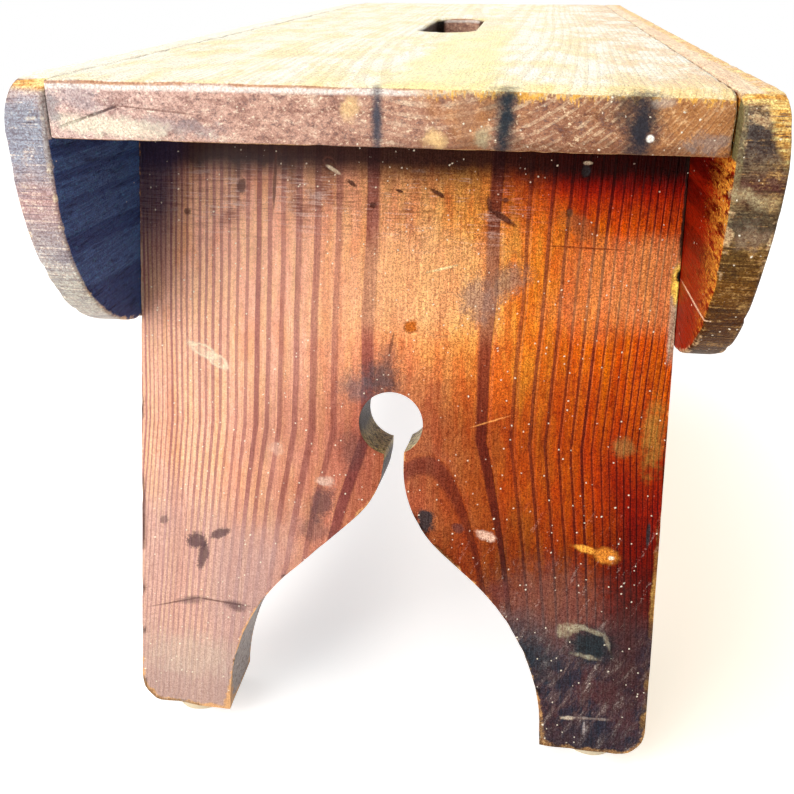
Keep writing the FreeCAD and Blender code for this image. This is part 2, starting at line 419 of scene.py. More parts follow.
@dataclass(frozen=True)
class Wood:
    """A worn pine finish. Each board's finish is one of these or a kind of it."""

    name: str
    rings: Rings = Rings()
    turn: Spot = (0.0, 0.0, 0.0)
    shift: Spot = (0.0, 0.0, 0.0)
    flip: Spot = (1.0, 1.0, 1.0)
    marks: tuple[Mark, ...] = ()
    speck_share: float = 0.8
    speck_tone: Tone = (0.98, 0.88, 0.70)
    contrast: float = 1.0
    roughness: float = 0.34
    gloss: float = 0.05
    relief: float = 0.00035
    coat_roughness: float = 0.22

    def grain(self, shader: Shader, space: Value) -> Grain:
        """Works out rings, fibres, grit and clouds.

        Args:
            shader: The tree that the nodes go to.
            space: Board directions.

        Returns:
            The grain's parts.
        """
        count, share = self.rings.count(shader, space)
        whole = shader.math("FLOOR", count)
        inside = count - whole
        chance = shader.random(whole)
        start = 1 - share * (chance * 0.5 + 0.85)
        late = shader.span(inside, start, start + share * 0.30) * shader.span(inside, 1.0, 1 - share * 0.15)
        late = late * (chance * 0.35 + 0.65) + inside * inside * 0.10
        glint = shader.span(inside, 0.0, 0.03) * shader.span(inside, 0.14, 0.05)
        strands = shader.mapped(space, scale=(1150.0, 1150.0, 60.0))
        fibre = shader.span(shader.noise(strands, 1.0, 3.0, 0.65), 0.32, 0.68)
        grit = shader.channel(shader.cells(space, 2300.0, "Color"), "Red")
        cloud = shader.noise(space, 26.0, 4.0, 0.6)
        fray = (shader.noise(space, 240.0, 4.0, 0.7) - 0.5) * 2.0
        return Grain(shader, space, late, glint, chance, fibre, grit, cloud, fray)

    def ground(self, grain: Grain) -> Value:
        """The varnished wood before dirt and wear. Each kind of board writes its own."""
        shader = grain.shader
        light = shader.tint(grain.cloud, (0.62, 0.24, 0.07), (0.80, 0.38, 0.14))
        return shader.tint(grain.late, light, (0.26, 0.08, 0.03))

    def worn(self, grain: Grain, colour: Value) -> Value:
        """Raw wood along the rims that hands and feet rub."""
        shader = grain.shader
        rim = shader.attribute("rim")
        bare = shader.span(rim + grain.fray * 0.5 + grain.wander(0.8), 0.72, 0.95)
        return shader.tint(bare * 0.75, colour, (0.78, 0.42, 0.15))

    def varnish(self, grain: Grain) -> Value | float:
        """How much clear varnish is left as a coat."""
        return 0.0

    def rough(self, grain: Grain, dirt: Value) -> Value:
        """Varnish that has gone dull in clouds and under dirt."""
        return grain.cloud * 0.22 + grain.grit * 0.14 + dirt * 0.25 + (self.roughness - 0.17)

    def height(self, grain: Grain) -> Value:
        """The relief of rings, fibres and grit."""
        return grain.late * 0.3 + grain.fibre * 0.4 + grain.grit * 0.06

    def board_space(self, shader: Shader) -> Value:
        """Object coordinates turned to the board's own directions."""
        place = shader.place()
        return shader.mapped(place, self.shift, self.turn, self.flip)

    def material(self) -> bpy.types.Material:
        """Builds the finish.

        Returns:
            The material.
        """
        shader = Shader(bpy.data.materials.new(self.name))
        space = self.board_space(shader)
        grain = self.grain(shader, space)
        colour = self.ground(grain)
        colour = self.worn(grain, colour)
        dirt = None
        sink = None
        edge = grain.fray + (grain.grit - 0.5) * 0.2
        for mark in self.marks:
            cover = mark.mask(shader, space, edge)
            colour = shader.tint(cover, colour, mark.tone)
            dirt = cover if dirt is None else shader.math("MAXIMUM", dirt, cover)
            if mark.sink:
                depth = cover * mark.sink
                sink = depth if sink is None else sink + depth
        colour = shader.glaze(self.fineness(grain), colour, self.shade(grain))
        speck = self.specks(grain)
        colour = shader.tint(speck, colour, self.speck_tone)
        rough = self.rough(grain, speck if dirt is None else dirt)
        height = self.height(grain) + speck * 0.4
        if sink is not None:
            height = height - sink
        return shader.surface(colour, rough, shader.bump(height, self.relief),
                              Specular_IOR_Level=self.gloss, Coat_Weight=self.varnish(grain),
                              Coat_Roughness=self.coat_roughness)

    def fineness(self, grain: Grain) -> Value | float:
        """How strong the fine texture is."""
        return self.contrast

    def shade(self, grain: Grain) -> Value:
        """Fine texture, redder where it is dark and yellower where it is light."""
        shader = grain.shader
        fine = shader.tint(grain.grit, (0.50, 0.34, 0.30), (1.50, 1.66, 1.60))
        streaks = shader.tint(grain.fibre, (0.80, 0.72, 0.70), (1.14, 1.20, 1.22))
        return shader.glaze(1.0, fine, streaks)

    def specks(self, grain: Grain) -> Value:
        """Small spatters of old paint, frayed, in clouds.

        Args:
            grain: The board's grain.

        Returns:
            Where the paint is, from 0 to 1.
        """
        shader = grain.shader
        shake = grain.fray * 0.0010
        moved = shader.node("ShaderNodeCombineXYZ", None, {0: shake, 1: shake, 2: shake})
        moved = shader.vector_math("ADD", grain.space, moved)
        total = None
        for scale, size, share in ((430.0, 0.18, 0.34), (170.0, 0.085, 0.22), (75.0, 0.045, 0.12)):
            near = shader.cells(moved, scale)
            luck = shader.channel(shader.cells(moved, scale, "Color"), "Red")
            luck = luck + grain.wander(0.6)
            some = shader.span(luck, 1 - share * self.speck_share, 1.02 - share * self.speck_share)
            spot = shader.span(near, size, size * 0.5) * some
            total = spot if total is None else shader.math("MAXIMUM", total, spot)
        return total


@dataclass(frozen=True)
class LegWood(Wood):
    """Red-orange varnish, hazy and paler towards the left, where sheen is painted into its colour, and riper
    towards the right foot.
    """

    def ground(self, grain: Grain) -> Value:
        """Orange between dark purple-brown growth lines, paler towards the left with painted sheen, and with
        painted shade under the top.

        Args:
            grain: The board's grain.

        Returns:
            The varnish with all its age.
        """
        shader = grain.shader
        across = grain.across
        place = across * (1 / 0.22) + 0.5 + grain.wander(0.20)
        # The light tones grow paler and pinker towards the left: partly the wood's own colour, partly painted
        # sheen.
        light = shader.ramp(place, [
            (0.02, (0.90, 0.51, 0.34)), (0.10, (1.0, 0.56, 0.35)), (0.30, (0.94, 0.50, 0.32)),
            (0.46, (0.93, 0.44, 0.215)), (0.60, (0.90, 0.37, 0.090)), (0.72, (0.83, 0.25, 0.022)),
            (0.84, (0.76, 0.132, 0.001)), (0.97, (0.71, 0.115, 0.001))])
        dark = shader.ramp(place, [
            (0.02, (0.50, 0.21, 0.18)), (0.30, (0.47, 0.185, 0.15)), (0.52, (0.36, 0.115, 0.075)),
            (0.68, (0.28, 0.070, 0.030)), (0.82, (0.22, 0.030, 0.010)), (0.97, (0.17, 0.012, 0.004))])
        hue = grain.noise((170.0, 170.0, 34.0), 3.0, 0.6, (1.7, 0, 0))
        hue = shader.span(hue + (grain.chance - 0.5) * 0.10, 0.36, 0.64)
        ripe = shader.span(across, -0.02, 0.05)
        red = shader.tint(ripe, (0.98, 0.92, 0.99), (0.97, 0.76, 0.60))
        yellow = shader.tint(ripe, (1.0, 1.03, 0.93), (0.98, 1.22, 1.25))
        light = shader.glaze(1.0, light, shader.tint(hue, red, yellow))
        colour = shader.tint(grain.late, light, dark)
        colour = shader.tint(grain.glint * 0.10, colour, (0.96, 0.62, 0.36))
        return self.aged(grain, colour)

    def aged(self, grain: Grain, colour: Value) -> Value:
        """Darkens the varnish where hands, feet and shade have been, and paints a sheen across the middle and
        at the right.

        Args:
            grain: The board's grain.
            colour: Clean varnish.

        Returns:
            The aged varnish.
        """
        shader = grain.shader
        across = grain.across
        up = grain.up
        loose = grain.wander(0.05)
        bands = grain.noise((85.0, 85.0, 5.0), 3.0, 0.6, (0, 0, 0.2))
        spots = grain.noise((340.0, 340.0, 210.0), 4.0, 0.8, (0.9, 0, 0))
        dull = grain.noise((75.0, 75.0, 26.0), 4.0, 0.65, (2.3, 0, 0))
        blotched = shader.span(across, -0.05, 0.05) * 0.6 + 0.4
        colour = shader.glaze(shader.span(bands, 0.50, 0.64) * 0.55, colour, (0.80, 0.66, 0.58))
        colour = shader.glaze(shader.span(spots, 0.50, 0.36) * 0.75 * blotched, colour, (0.66, 0.46, 0.42))
        colour = shader.glaze(shader.span(dull, 0.54, 0.66) * 0.50, colour, (0.78, 0.80, 0.76))
        colour = shader.glaze(shader.span(dull, 0.47, 0.35) * 0.55, colour, (0.92, 0.74, 0.62))
        # Painted sheen: a pale orange wash across the middle of the upper leg, then a second one lower at the
        # right.
        painted_sheen = shader.span(abs(across - 0.008), 0.040, 0.012)
        painted_sheen = painted_sheen * shader.span(up + loose, -0.038, -0.052) * shader.span(up + loose, -0.094, -0.076)
        colour = shader.tint(painted_sheen * 0.45, colour, (0.96, 0.52, 0.27))
        sheen = shader.span(across + loose, 0.050, 0.085) * shader.span(up + loose * 0.5, -0.040, -0.052)
        sheen = sheen * shader.span(up + loose * 0.5, -0.086, -0.070)
        colour = shader.tint(sheen * 0.30, colour, (0.98, 0.56, 0.24))
        warm = shader.span(abs(across - 0.012), 0.045, 0.020) * shader.span(up, -0.076, -0.090)
        colour = shader.glaze(warm * 0.90, colour, (1.05, 0.84, 0.74))
        below = shader.span(up + loose, -0.085, -0.125)
        core = shader.span(abs(across + loose + 0.002), 0.072, 0.028) * below
        colour = shader.glaze(core * 0.90, colour, (0.62, 0.46, 0.46))
        middle = shader.span(abs(across + loose * 0.5 - 0.004), 0.038, 0.012) * below
        colour = shader.glaze(middle * 0.90, colour, (0.66, 0.62, 0.84))
        right = shader.span(across + loose, 0.008, 0.040) * shader.span(up + loose, -0.080, -0.125)
        colour = shader.glaze(right * 0.90, colour, (0.60, 0.38, 0.34))
        edge = shader.span(across + loose * 0.4, 0.078, 0.092) * shader.span(up, -0.105, -0.150)
        colour = shader.glaze(edge * 0.92, colour, (0.56, 0.08, 0.08))
        # Painted shade along the left side of the arch, low down.
        brink = shader.span(abs(across + 0.062 + loose * 0.3), 0.018, 0.008)
        brink = brink * shader.span(up + loose, -0.160, -0.190)
        colour = shader.tint(brink * 0.45, colour, (0.46, 0.31, 0.28))
        left = shader.span(across + loose, -0.030, -0.056) * shader.span(up + loose, -0.142, -0.176)
        colour = shader.tint(left * 0.55, colour, (0.54, 0.34, 0.31))
        sole = shader.span(across, -0.05, -0.07) * shader.span(up + loose, -0.206, -0.246)
        colour = shader.tint(sole * 0.80, colour, (0.48, 0.32, 0.275))
        colour = self.foot(grain, colour)
        return self.shaded(grain, colour)

    def foot(self, grain: Grain, colour: Value) -> Value:
        """Darkens the right foot to purple-brown, and to scuffed slate lower down.

        Args:
            grain: The board's grain.
            colour: The aged varnish.

        Returns:
            The colour with the foot in it.
        """
        shader = grain.shader
        across = grain.across
        up = grain.up
        loose = grain.wander(0.05)
        high = shader.span(across + loose, 0.018, 0.046) * shader.span(up + loose, -0.135, -0.185)
        colour = shader.glaze(high * 0.90, colour, (0.42, 0.42, 0.58))
        slant = shader.mapped(grain.space, (0.4, 0, 0), (0, math.radians(-26), 0))
        smear = shader.noise(shader.mapped(slant, scale=(300.0, 300.0, 75.0)), 1.0, 5.0, 0.75)
        broad = grain.noise((60.0, 60.0, 60.0), 5.0, 0.7, (0.9, 0, 0))
        slate = shader.tint(shader.span(broad, 0.44, 0.60), (0.016, 0.026, 0.044), (0.080, 0.036, 0.042))
        slate = shader.tint(shader.span(smear, 0.46, 0.56) * 0.75, slate, (0.115, 0.078, 0.080))
        slate = shader.tint(shader.span(smear, 0.56, 0.66) * 0.75, slate, (0.30, 0.25, 0.24))
        low = shader.span(across + loose * 0.5, 0.030, 0.046) * shader.span(up + loose * 0.8, -0.188, -0.206)
        colour = shader.tint(low * 0.90, colour, slate)
        scraped = shader.span(smear + (grain.grit - 0.5) * 0.12, 0.60, 0.68) * high
        return shader.tint(scraped * 0.45, colour, (0.40, 0.30, 0.27))

    def shaded(self, grain: Grain, colour: Value) -> Value:
        """Painted shade under the top, scratches and scuffs, and the left apron's painted shadow along the
        left edge.

        Args:
            grain: The board's grain.
            colour: The aged varnish.

        Returns:
            The finished face and walls.
        """
        shader = grain.shader
        across = grain.across
        up = grain.up
        worn = grain.noise((34.0, 34.0, 22.0), 5.0, 0.7, (3.1, 0, 0))
        streak = grain.noise((70.0, 900.0, 1000.0), 3.0, 0.7)
        # Painted shade: the varnish darkens towards the underside of the top, with a wandering edge.
        shade_under_top = shader.span(up + (worn - 0.5) * 0.06, -0.050, -0.016)
        colour = shader.glaze(shade_under_top * 0.42, colour, (0.30, 0.20, 0.20))
        zone = shader.span(up, -0.058, -0.036) * shader.span(across, 0.062, 0.025)
        colour = shader.glaze(zone * shader.span(streak, 0.50, 0.36) * 0.60, colour, (0.46, 0.34, 0.33))
        colour = shader.glaze(zone * shader.span(worn, 0.52, 0.62) * 0.60, colour, (0.42, 0.27, 0.25))
        scuff = shader.span(streak + (worn - 0.5) * 0.8, 0.54, 0.66) * zone * shader.span(up, -0.014, -0.024)
        colour = shader.tint(scuff * 0.50, colour, (0.74, 0.54, 0.47))
        # Painted shade at the right under the top, deep red.
        side = shader.span(across, 0.02, 0.07)
        red_shade = shader.span(up + (worn - 0.5) * 0.006, -0.046, -0.020) * side
        colour = shader.glaze(red_shade, colour, (0.86, 0.055, 0.07))
        # Painted shade: near black just under the top, down about two to three centimetres, blacker at the
        # right.
        dark = shader.span(up + (worn - 0.5) * 0.012, -0.0285, -0.0175)
        tone = shader.tint(side, (0.026, 0.0055, 0.0060), (0.011, 0.0012, 0.0006))
        colour = shader.tint(dark * 0.96, colour, tone)
        # Painted shadow of the left apron: a dark band down the leg's left edge.
        wide = across + grain.fray * 0.0006 - (up + 0.09) * 0.09
        apron_shadow = shader.span(wide, -0.087, -0.1005) * shader.span(up, -0.092, -0.030)
        colour = shader.tint(apron_shadow * 0.80, colour, (0.045, 0.035, 0.080))
        return self.walls(grain, colour)

    def walls(self, grain: Grain, colour: Value) -> Value:
        """Grimy sawn walls of the keyhole and arch, olive where the bit left them rough, with painted shade
        making the keyhole's upper wall and the arch's crown near black.

        Args:
            grain: The board's grain.
            colour: The face's colour.

        Returns:
            The colour with the walls in it.
        """
        shader = grain.shader
        across = grain.across
        up = grain.up
        wall = shader.attribute("wall") * shader.span(abs(across), 0.100, 0.097)
        rough = shader.span(shader.noise(grain.space, 520.0, 4.0, 0.75), 0.36, 0.56)
        olive = shader.tint(rough, (0.12, 0.075, 0.028), (0.88, 0.70, 0.32))
        # Painted shade: the keyhole's upper wall is near black, its lower wall olive.
        low = shader.span(up + grain.wander(0.01), -0.1225, -0.1285)
        hole = shader.tint(low, (0.020, 0.010, 0.008), olive)
        grey = shader.tint(rough, (0.17, 0.12, 0.10), (0.46, 0.39, 0.36))
        # Painted shade: the arch's walls are near black at its crown, grey lower down.
        arch = shader.tint(shader.span(up, -0.150, -0.200), (0.022, 0.008, 0.005), grey)
        tone = shader.tint(shader.span(up, -0.1345, -0.1375), hole, arch)
        return shader.tint(wall * 0.92, colour, tone)

    def fineness(self, grain: Grain) -> Value:
        """Grit shows more towards the right, where the varnish is thick."""
        shader = grain.shader
        return shader.span(grain.across, -0.060, 0.030) * 0.50 + 0.34

    def varnish(self, grain: Grain) -> Value:
        """Hazy varnish towards the left, rubbed away below."""
        shader = grain.shader
        across = grain.across
        return shader.span(across, 0.02, -0.08) * 0.22 + shader.span(grain.cloud, 0.48, 0.60) * 0.02

    def worn(self, grain: Grain, colour: Value) -> Value:
        """Raw orange wood along the rims, most of all at the feet.

        Args:
            grain: The board's grain.
            colour: The finish so far.

        Returns:
            The colour with the wear in it.
        """
        shader = grain.shader
        low = shader.span(grain.up, -0.222, -0.252)
        rim = shader.attribute("rim")
        bare = shader.span(rim + grain.fray * 0.45 + grain.wander(0.9) + low * 0.30, 0.86, 1.08)
        colour = shader.tint(bare * 0.80, colour, (0.80, 0.42, 0.16))
        near = shader.span(grain.deep + grain.fray * 0.0006, 0.0030, 0.0012)
        side = (grain.across + grain.fray * 0.0012) * near
        up = grain.up
        strip = shader.span(side, 0.1016, 0.1030) * shader.span(up, -0.050, -0.056)
        strip = strip * shader.span(up + grain.fray * 0.004, -0.092, -0.084)
        colour = shader.tint(strip * 0.80, colour, (0.42, 0.33, 0.24))
        seam = shader.span(side, 0.1034, 0.1042) * shader.span(up, -0.052, -0.048)
        colour = shader.tint(seam * 0.95, colour, (0.016, 0.006, 0.004))
        brink = shader.span(side + grain.wander(0.006), 0.1036, 0.1046) * shader.span(up, -0.150, -0.175)
        return shader.tint(brink * shader.span(grain.cloud, 0.40, 0.52) * 0.75, colour, (0.52, 0.28, 0.07))


@dataclass(frozen=True)
class TopWood(Wood):
    """Honey-yellow varnish, pale from rubbing and from painted light, with grey-brown end grain."""

    def ground(self, grain: Grain) -> Value:
        """Honey on the faces and dull mauve-brown on the sawn ends."""
        shader = grain.shader
        honey = self.face(grain)
        return shader.tint(shader.attribute("cut"), honey, self.sawn(grain))

    def face(self, grain: Grain) -> Value:
        """The top face, cream from rubbing and from painted light, with orange and brown left at the right
        and the front, and painted shade in the slot.

        Args:
            grain: The board's grain.

        Returns:
            Its colour.
        """
        shader = grain.shader
        across, deep, along = grain.across, grain.deep, grain.up
        patch = grain.noise((60.0, 60.0, 26.0), 5.0, 0.65, (0.7, 0, 0.3))
        dash = grain.noise((620.0, 620.0, 70.0), 4.0, 0.75, (0.3, 0, 0))
        # The pale cream end is partly painted light: the top face is brighter than its varnish because of the
        # strong light on it.
        honey = shader.tint(shader.span(patch, 0.38, 0.58), (0.92, 0.80, 0.44), (0.97, 0.94, 0.80))
        honey = shader.tint(grain.late * 0.35, honey, (0.80, 0.58, 0.25))
        strip = shader.span(across + grain.wander(0.02), 0.000, 0.008) * shader.span(across, 0.040, 0.030)
        honey = shader.tint(strip * shader.span(along, 0.06, -0.12) * 0.65, honey, (0.94, 0.84, 0.34))
        honey = shader.tint(shader.span(dash, 0.54, 0.66) * 0.38, honey, (0.72, 0.47, 0.22))
        red = shader.span(across + grain.wander(0.05), 0.050, 0.100) * shader.span(patch, 0.60, 0.42)
        honey = shader.tint(red * shader.span(dash, 0.36, 0.56) * 0.70, honey, (0.80, 0.42, 0.22))
        gold = shader.span(along + (patch - 0.5) * 0.04, -0.258, -0.280)
        gold = gold * shader.span(across + (patch - 0.5) * 0.06, -0.06, 0.05)
        honey = shader.tint(gold * 0.5, honey, (0.98, 0.74, 0.26))
        scar = grain.noise((420.0, 420.0, 90.0), 4.0, 0.7, (0.2, 0, 0))
        scar = shader.span(scar, 0.62, 0.72) * shader.span(patch, 0.54, 0.42)
        honey = shader.tint(scar * 0.75, honey, (0.30, 0.17, 0.11))
        under = shader.tint(grain.late, (0.55, 0.30, 0.13), (0.30, 0.13, 0.05))
        honey = shader.tint(shader.span(deep, 0.0155, 0.0178), honey, under)
        seam = shader.span(across, -0.1033, -0.1038) * 0.9 + shader.span(across, 0.1036, 0.1040) * 0.6
        seam = seam * shader.span(shader.noise(grain.space, 60.0, 3.0, 0.6), 0.34, 0.44)
        honey = shader.tint(seam, honey, (0.060, 0.035, 0.025))
        # Painted shade in the hand-hold slot: its walls near black to the left, dark brown to the right.
        inside = shader.span(deep, 0.0006, 0.0022) * shader.span(abs(across), 0.020, 0.017)
        wall = shader.tint(shader.span(across, -0.006, 0.014), (0.005, 0.003, 0.002), (0.095, 0.046, 0.030))
        return shader.tint(inside, honey, wall)

    def sawn(self, grain: Grain) -> Value:
        """The end grain: mauve at the left, brown at the right, with pale dashes along the rings.

        Args:
            grain: The board's grain.

        Returns:
            Its colour.
        """
        shader = grain.shader
        across = grain.across
        deep = grain.deep
        place = across * (1 / 0.22) + 0.5 + grain.wander(0.25)
        sawn = shader.ramp(place, [
            (0.04, (0.74, 0.51, 0.46)), (0.30, (0.64, 0.38, 0.30)), (0.60, (0.48, 0.235, 0.15)),
            (0.80, (0.38, 0.165, 0.085)), (0.96, (0.34, 0.150, 0.075))])
        pale = shader.ramp(place, [(0.1, (0.98, 0.88, 0.74)), (0.9, (0.92, 0.66, 0.40))])
        dots = grain.noise((520.0, 800.0, 600.0), 4.0, 0.8, (0, 0.4, 0), (0, 0, 0.5))
        broad = grain.noise((100.0, 190.0, 110.0), 5.0, 0.75, (0.5, 0.2, 0))
        sawn = shader.glaze(shader.span(broad, 0.50, 0.36) * 0.75, sawn, (0.46, 0.36, 0.36))
        sawn = shader.tint(shader.span(broad, 0.55, 0.68) * 0.60, sawn, pale)
        sawn = shader.tint(shader.span(dots, 0.50, 0.34) * 0.85, sawn, (0.17, 0.10, 0.095))
        sawn = shader.tint(shader.span(dots, 0.55, 0.68) * 0.90, sawn, pale)
        right = shader.span(across + grain.wander(0.06), -0.03, 0.04)
        rings = shader.span(grain.late + (dots - 0.5) * 1.4, 0.42, 0.70) * right
        sawn = shader.tint(rings * shader.span(broad, 0.40, 0.60) * 0.50, sawn, pale)
        rust = shader.span(grain.cloud, 0.52, 0.64) * right
        sawn = shader.tint(rust * 0.5, sawn, (0.58, 0.24, 0.06))
        low = shader.span(deep + (broad - 0.5) * 0.02, 0.0140, 0.0175) * right
        return shader.tint(low * 0.7, sawn, (0.16, 0.055, 0.025))

    def varnish(self, grain: Grain) -> Value:
        """A thin coat in clouds."""
        shader = grain.shader
        return shader.span(grain.cloud, 0.35, 0.60) * 0.18

    def worn(self, grain: Grain, colour: Value) -> Value:
        """A brown line and a painted white highlight along the end's upper rim, and ragged gold at the right.

        Args:
            grain: The board's grain.
            colour: The finish so far.

        Returns:
            The colour with the wear in it.
        """
        shader = grain.shader
        deep = grain.deep + grain.fray * 0.0005
        across = grain.across
        right = shader.span(across + grain.wander(0.03), 0.006, 0.030)
        end = shader.attribute("cut")
        # Painted highlight: a white band along the rounded upper rim of the end, left of the middle.
        white = shader.span(deep, 0.0034, 0.0022) * shader.span(deep, 0.0006, 0.0013) * (1.0 - right) * end
        colour = shader.tint(white * 0.75, colour, (0.98, 0.90, 0.84))
        teeth = grain.noise((700.0, 260.0, 90.0), 3.0, 0.7)
        gold = shader.span(deep + (teeth - 0.5) * 0.011, 0.0034, 0.0016) * right * end
        honey = shader.tint(shader.span(teeth, 0.40, 0.60), (0.90, 0.46, 0.08), (1.0, 0.86, 0.50))
        colour = shader.tint(gold * 0.9, colour, honey)
        line = shader.span(deep, 0.0016, 0.0010) * shader.span(deep, -0.0002, 0.0003) * (1.0 - right)
        broken = shader.span(shader.noise(grain.space, 90.0, 3.0, 0.6), 0.36, 0.50) * end
        return shader.tint(line * broken * 0.8, colour, (0.55, 0.26, 0.12))


@dataclass(frozen=True)
class ApronWood(Wood):
    """Dark stain with saw-marked ends. The two aprons have aged apart, so their tones are fields."""

    inner: Tone = (0.31, 0.012, 0.002)
    inner_late: Tone = (0.14, 0.004, 0.001)
    inner_edge: Tone = (0.66, 0.22, 0.03)
    edge_share: float = 1.0
    end_tones: tuple[tuple[float, Tone], ...] = (
        (0.02, (0.34, 0.22, 0.12)), (0.09, (0.120, 0.092, 0.080)), (0.20, (0.115, 0.078, 0.064)),
        (0.27, (0.20, 0.13, 0.075)), (0.35, (0.110, 0.038, 0.030)), (0.42, (0.20, 0.125, 0.060)),
        (0.50, (0.070, 0.050, 0.032)), (0.62, (0.115, 0.056, 0.014)), (0.78, (0.155, 0.060, 0.008)),
        (0.95, (0.085, 0.026, 0.004)))
    end_dark: Tone = (0.028, 0.012, 0.006)
    end_light: Tone = (0.50, 0.28, 0.095)
    mottle: float = 0.70
    upper: Tone = (0.96, 0.78, 0.54)
    upper_late: Tone = (0.84, 0.54, 0.32)
    rim_tone: Tone = (0.66, 0.44, 0.24)
    inner_rim: Tone = (0.24, 0.19, 0.090)
    lip: Tone = (0.16, 0.13, 0.055)
    gold: float = 0.0

    def ground(self, grain: Grain) -> Value:
        """Stain on the faces, rubbed varnish on top and raw saw cuts at the ends.

        Args:
            grain: The board's grain.

        Returns:
            The colour of every side.
        """
        shader = grain.shader
        deep = grain.deep
        along = grain.up
        beside = abs(grain.across)
        outer = shader.tint(grain.late, (0.40, 0.135, 0.045), (0.17, 0.045, 0.02))
        inner = shader.tint(grain.late, self.inner, self.inner_late)
        streak = grain.noise((400.0, 400.0, 90.0), 4.0, 0.7, (0, 0, 0), (0.5, 0, 0))
        fleck = grain.noise((560.0, 760.0, 420.0), 4.0, 0.78, (0.2, 0, 0))
        inner = shader.glaze(shader.span(streak, 0.50, 0.34) * 0.75, inner, (0.36, 0.34, 0.40))
        inner = shader.glaze(shader.span(fleck, 0.52, 0.66) * 0.45, inner, (1.35, 2.2, 1.4))
        front = shader.span(along + (streak - 0.5) * 0.08 + deep * 0.12, -0.246, -0.276)
        honey = shader.tint(shader.span(fleck, 0.46, 0.62), self.inner_edge, (0.86, 0.42, 0.05))
        front = front * shader.span(streak + (fleck - 0.5) * 0.6, 0.42, 0.56)
        inner = shader.tint(front * self.edge_share, inner, honey)
        lip = shader.span(along, -0.2800, -0.2815) * shader.span(deep, 0.0192, 0.0182)
        inner = shader.tint(lip, inner, self.lip)
        faces = shader.tint(shader.span(beside, 0.1062, 0.1054), outer, inner)
        rubbed = shader.span(grain.cloud, 0.60, 0.40) * 0.6 + grain.late * 0.2
        rubbed = rubbed + shader.span(fleck, 0.54, 0.66) * 0.4
        rubbed = shader.tint(rubbed, self.upper, self.upper_late)
        faces = shader.tint(shader.span(deep, 0.0014, 0.0004), faces, rubbed)
        return shader.tint(shader.attribute("cut"), faces, self.sawn(grain, fleck))

    def sawn(self, grain: Grain, fleck: Value) -> Value:
        """The ends, with lines across from the saw.

        Args:
            grain: The board's grain.
            fleck: Fine noise.

        Returns:
            Their colour.
        """
        shader = grain.shader
        deep = grain.deep
        saw = grain.noise((45.0, 1300.0, 45.0), 3.0, 0.7)
        blotch = grain.noise((80.0, 80.0, 80.0), 5.0, 0.75, (0.4, 0.1, 0))
        sawn = shader.ramp((deep + (blotch - 0.5) * 0.018) * (1 / 0.075), list(self.end_tones))
        sawn = shader.tint(shader.span(blotch, 0.50, 0.36) * self.mottle, sawn, self.end_dark)
        pale = shader.span(blotch + (fleck - 0.5) * 0.3, 0.56, 0.70)
        sawn = shader.tint(pale * self.mottle, sawn, self.end_light)
        sawn = shader.tint(shader.span(saw, 0.51, 0.36) * 0.62, sawn, self.end_dark)
        sawn = shader.tint(shader.span(saw + (fleck - 0.5) * 0.8, 0.56, 0.74) * 0.75, sawn, self.end_light)
        return shader.tint(shader.span(fleck, 0.66, 0.76) * 0.7, sawn, (0.95, 0.80, 0.55))

    def worn(self, grain: Grain, colour: Value) -> Value:
        """Wear along the rims, a dull strip by the inner one, and gold in the outer top corner.

        Args:
            grain: The board's grain.
            colour: The finish so far.

        Returns:
            The colour with the wear in it.
        """
        shader = grain.shader
        rim = shader.attribute("rim")
        deep = grain.deep
        end = shader.attribute("cut")
        bare = shader.span(rim + grain.fray * 0.5 + grain.wander(1.0), 1.02, 1.20)
        colour = shader.tint(bare * 0.75, colour, self.rim_tone)
        beside = abs(grain.across)
        loose = grain.fray * 0.0010 + grain.wander(0.008)
        strip = shader.span(beside + grain.fray * 0.0006, 0.1072, 0.1062) * end
        colour = shader.tint(strip * shader.span(deep, 0.040, 0.020) * 0.60, colour, self.inner_rim)
        saw = grain.noise((90.0, 1000.0, 90.0), 3.0, 0.7)
        corner = shader.span(beside + loose - deep * 0.36, 0.1108, 0.1132) * shader.span(deep, 0.024, 0.010)
        corner = corner * shader.span(saw, 0.34, 0.46)
        top = shader.span(deep + loose * 0.5, 0.0040, 0.0020) * end
        gold = shader.math("MAXIMUM", corner * self.gold, top)
        honey = shader.tint(shader.span(saw + grain.fray * 0.2, 0.40, 0.62),
                            (0.80, 0.36, 0.05), (1.0, 0.78, 0.30))
        return shader.tint(gold * 0.85, colour, honey)


# Other finishes

@dataclass(frozen=True)
class Nylon:
    """Cream pads that have yellowed and scuffed."""

    name: str = "glide_nylon"

    def material(self) -> bpy.types.Material:
        """Builds the finish.

        Returns:
            The material.
        """
        shader = Shader(bpy.data.materials.new(self.name))
        place = shader.place()
        cloud = shader.noise(place, 160.0, 3.0, 0.6)
        dirt = shader.noise(place, 900.0, 3.0, 0.7)
        colour = shader.tint(cloud, (0.70, 0.55, 0.34), (0.86, 0.76, 0.56))
        colour = shader.tint(shader.span(dirt, 0.60, 0.75) * 0.5, colour, (0.35, 0.24, 0.13))
        rough = cloud * 0.2 + dirt * 0.2 + 0.28
        return shader.surface(colour, rough, shader.bump(dirt * 0.5 + cloud * 0.5, 0.00015))


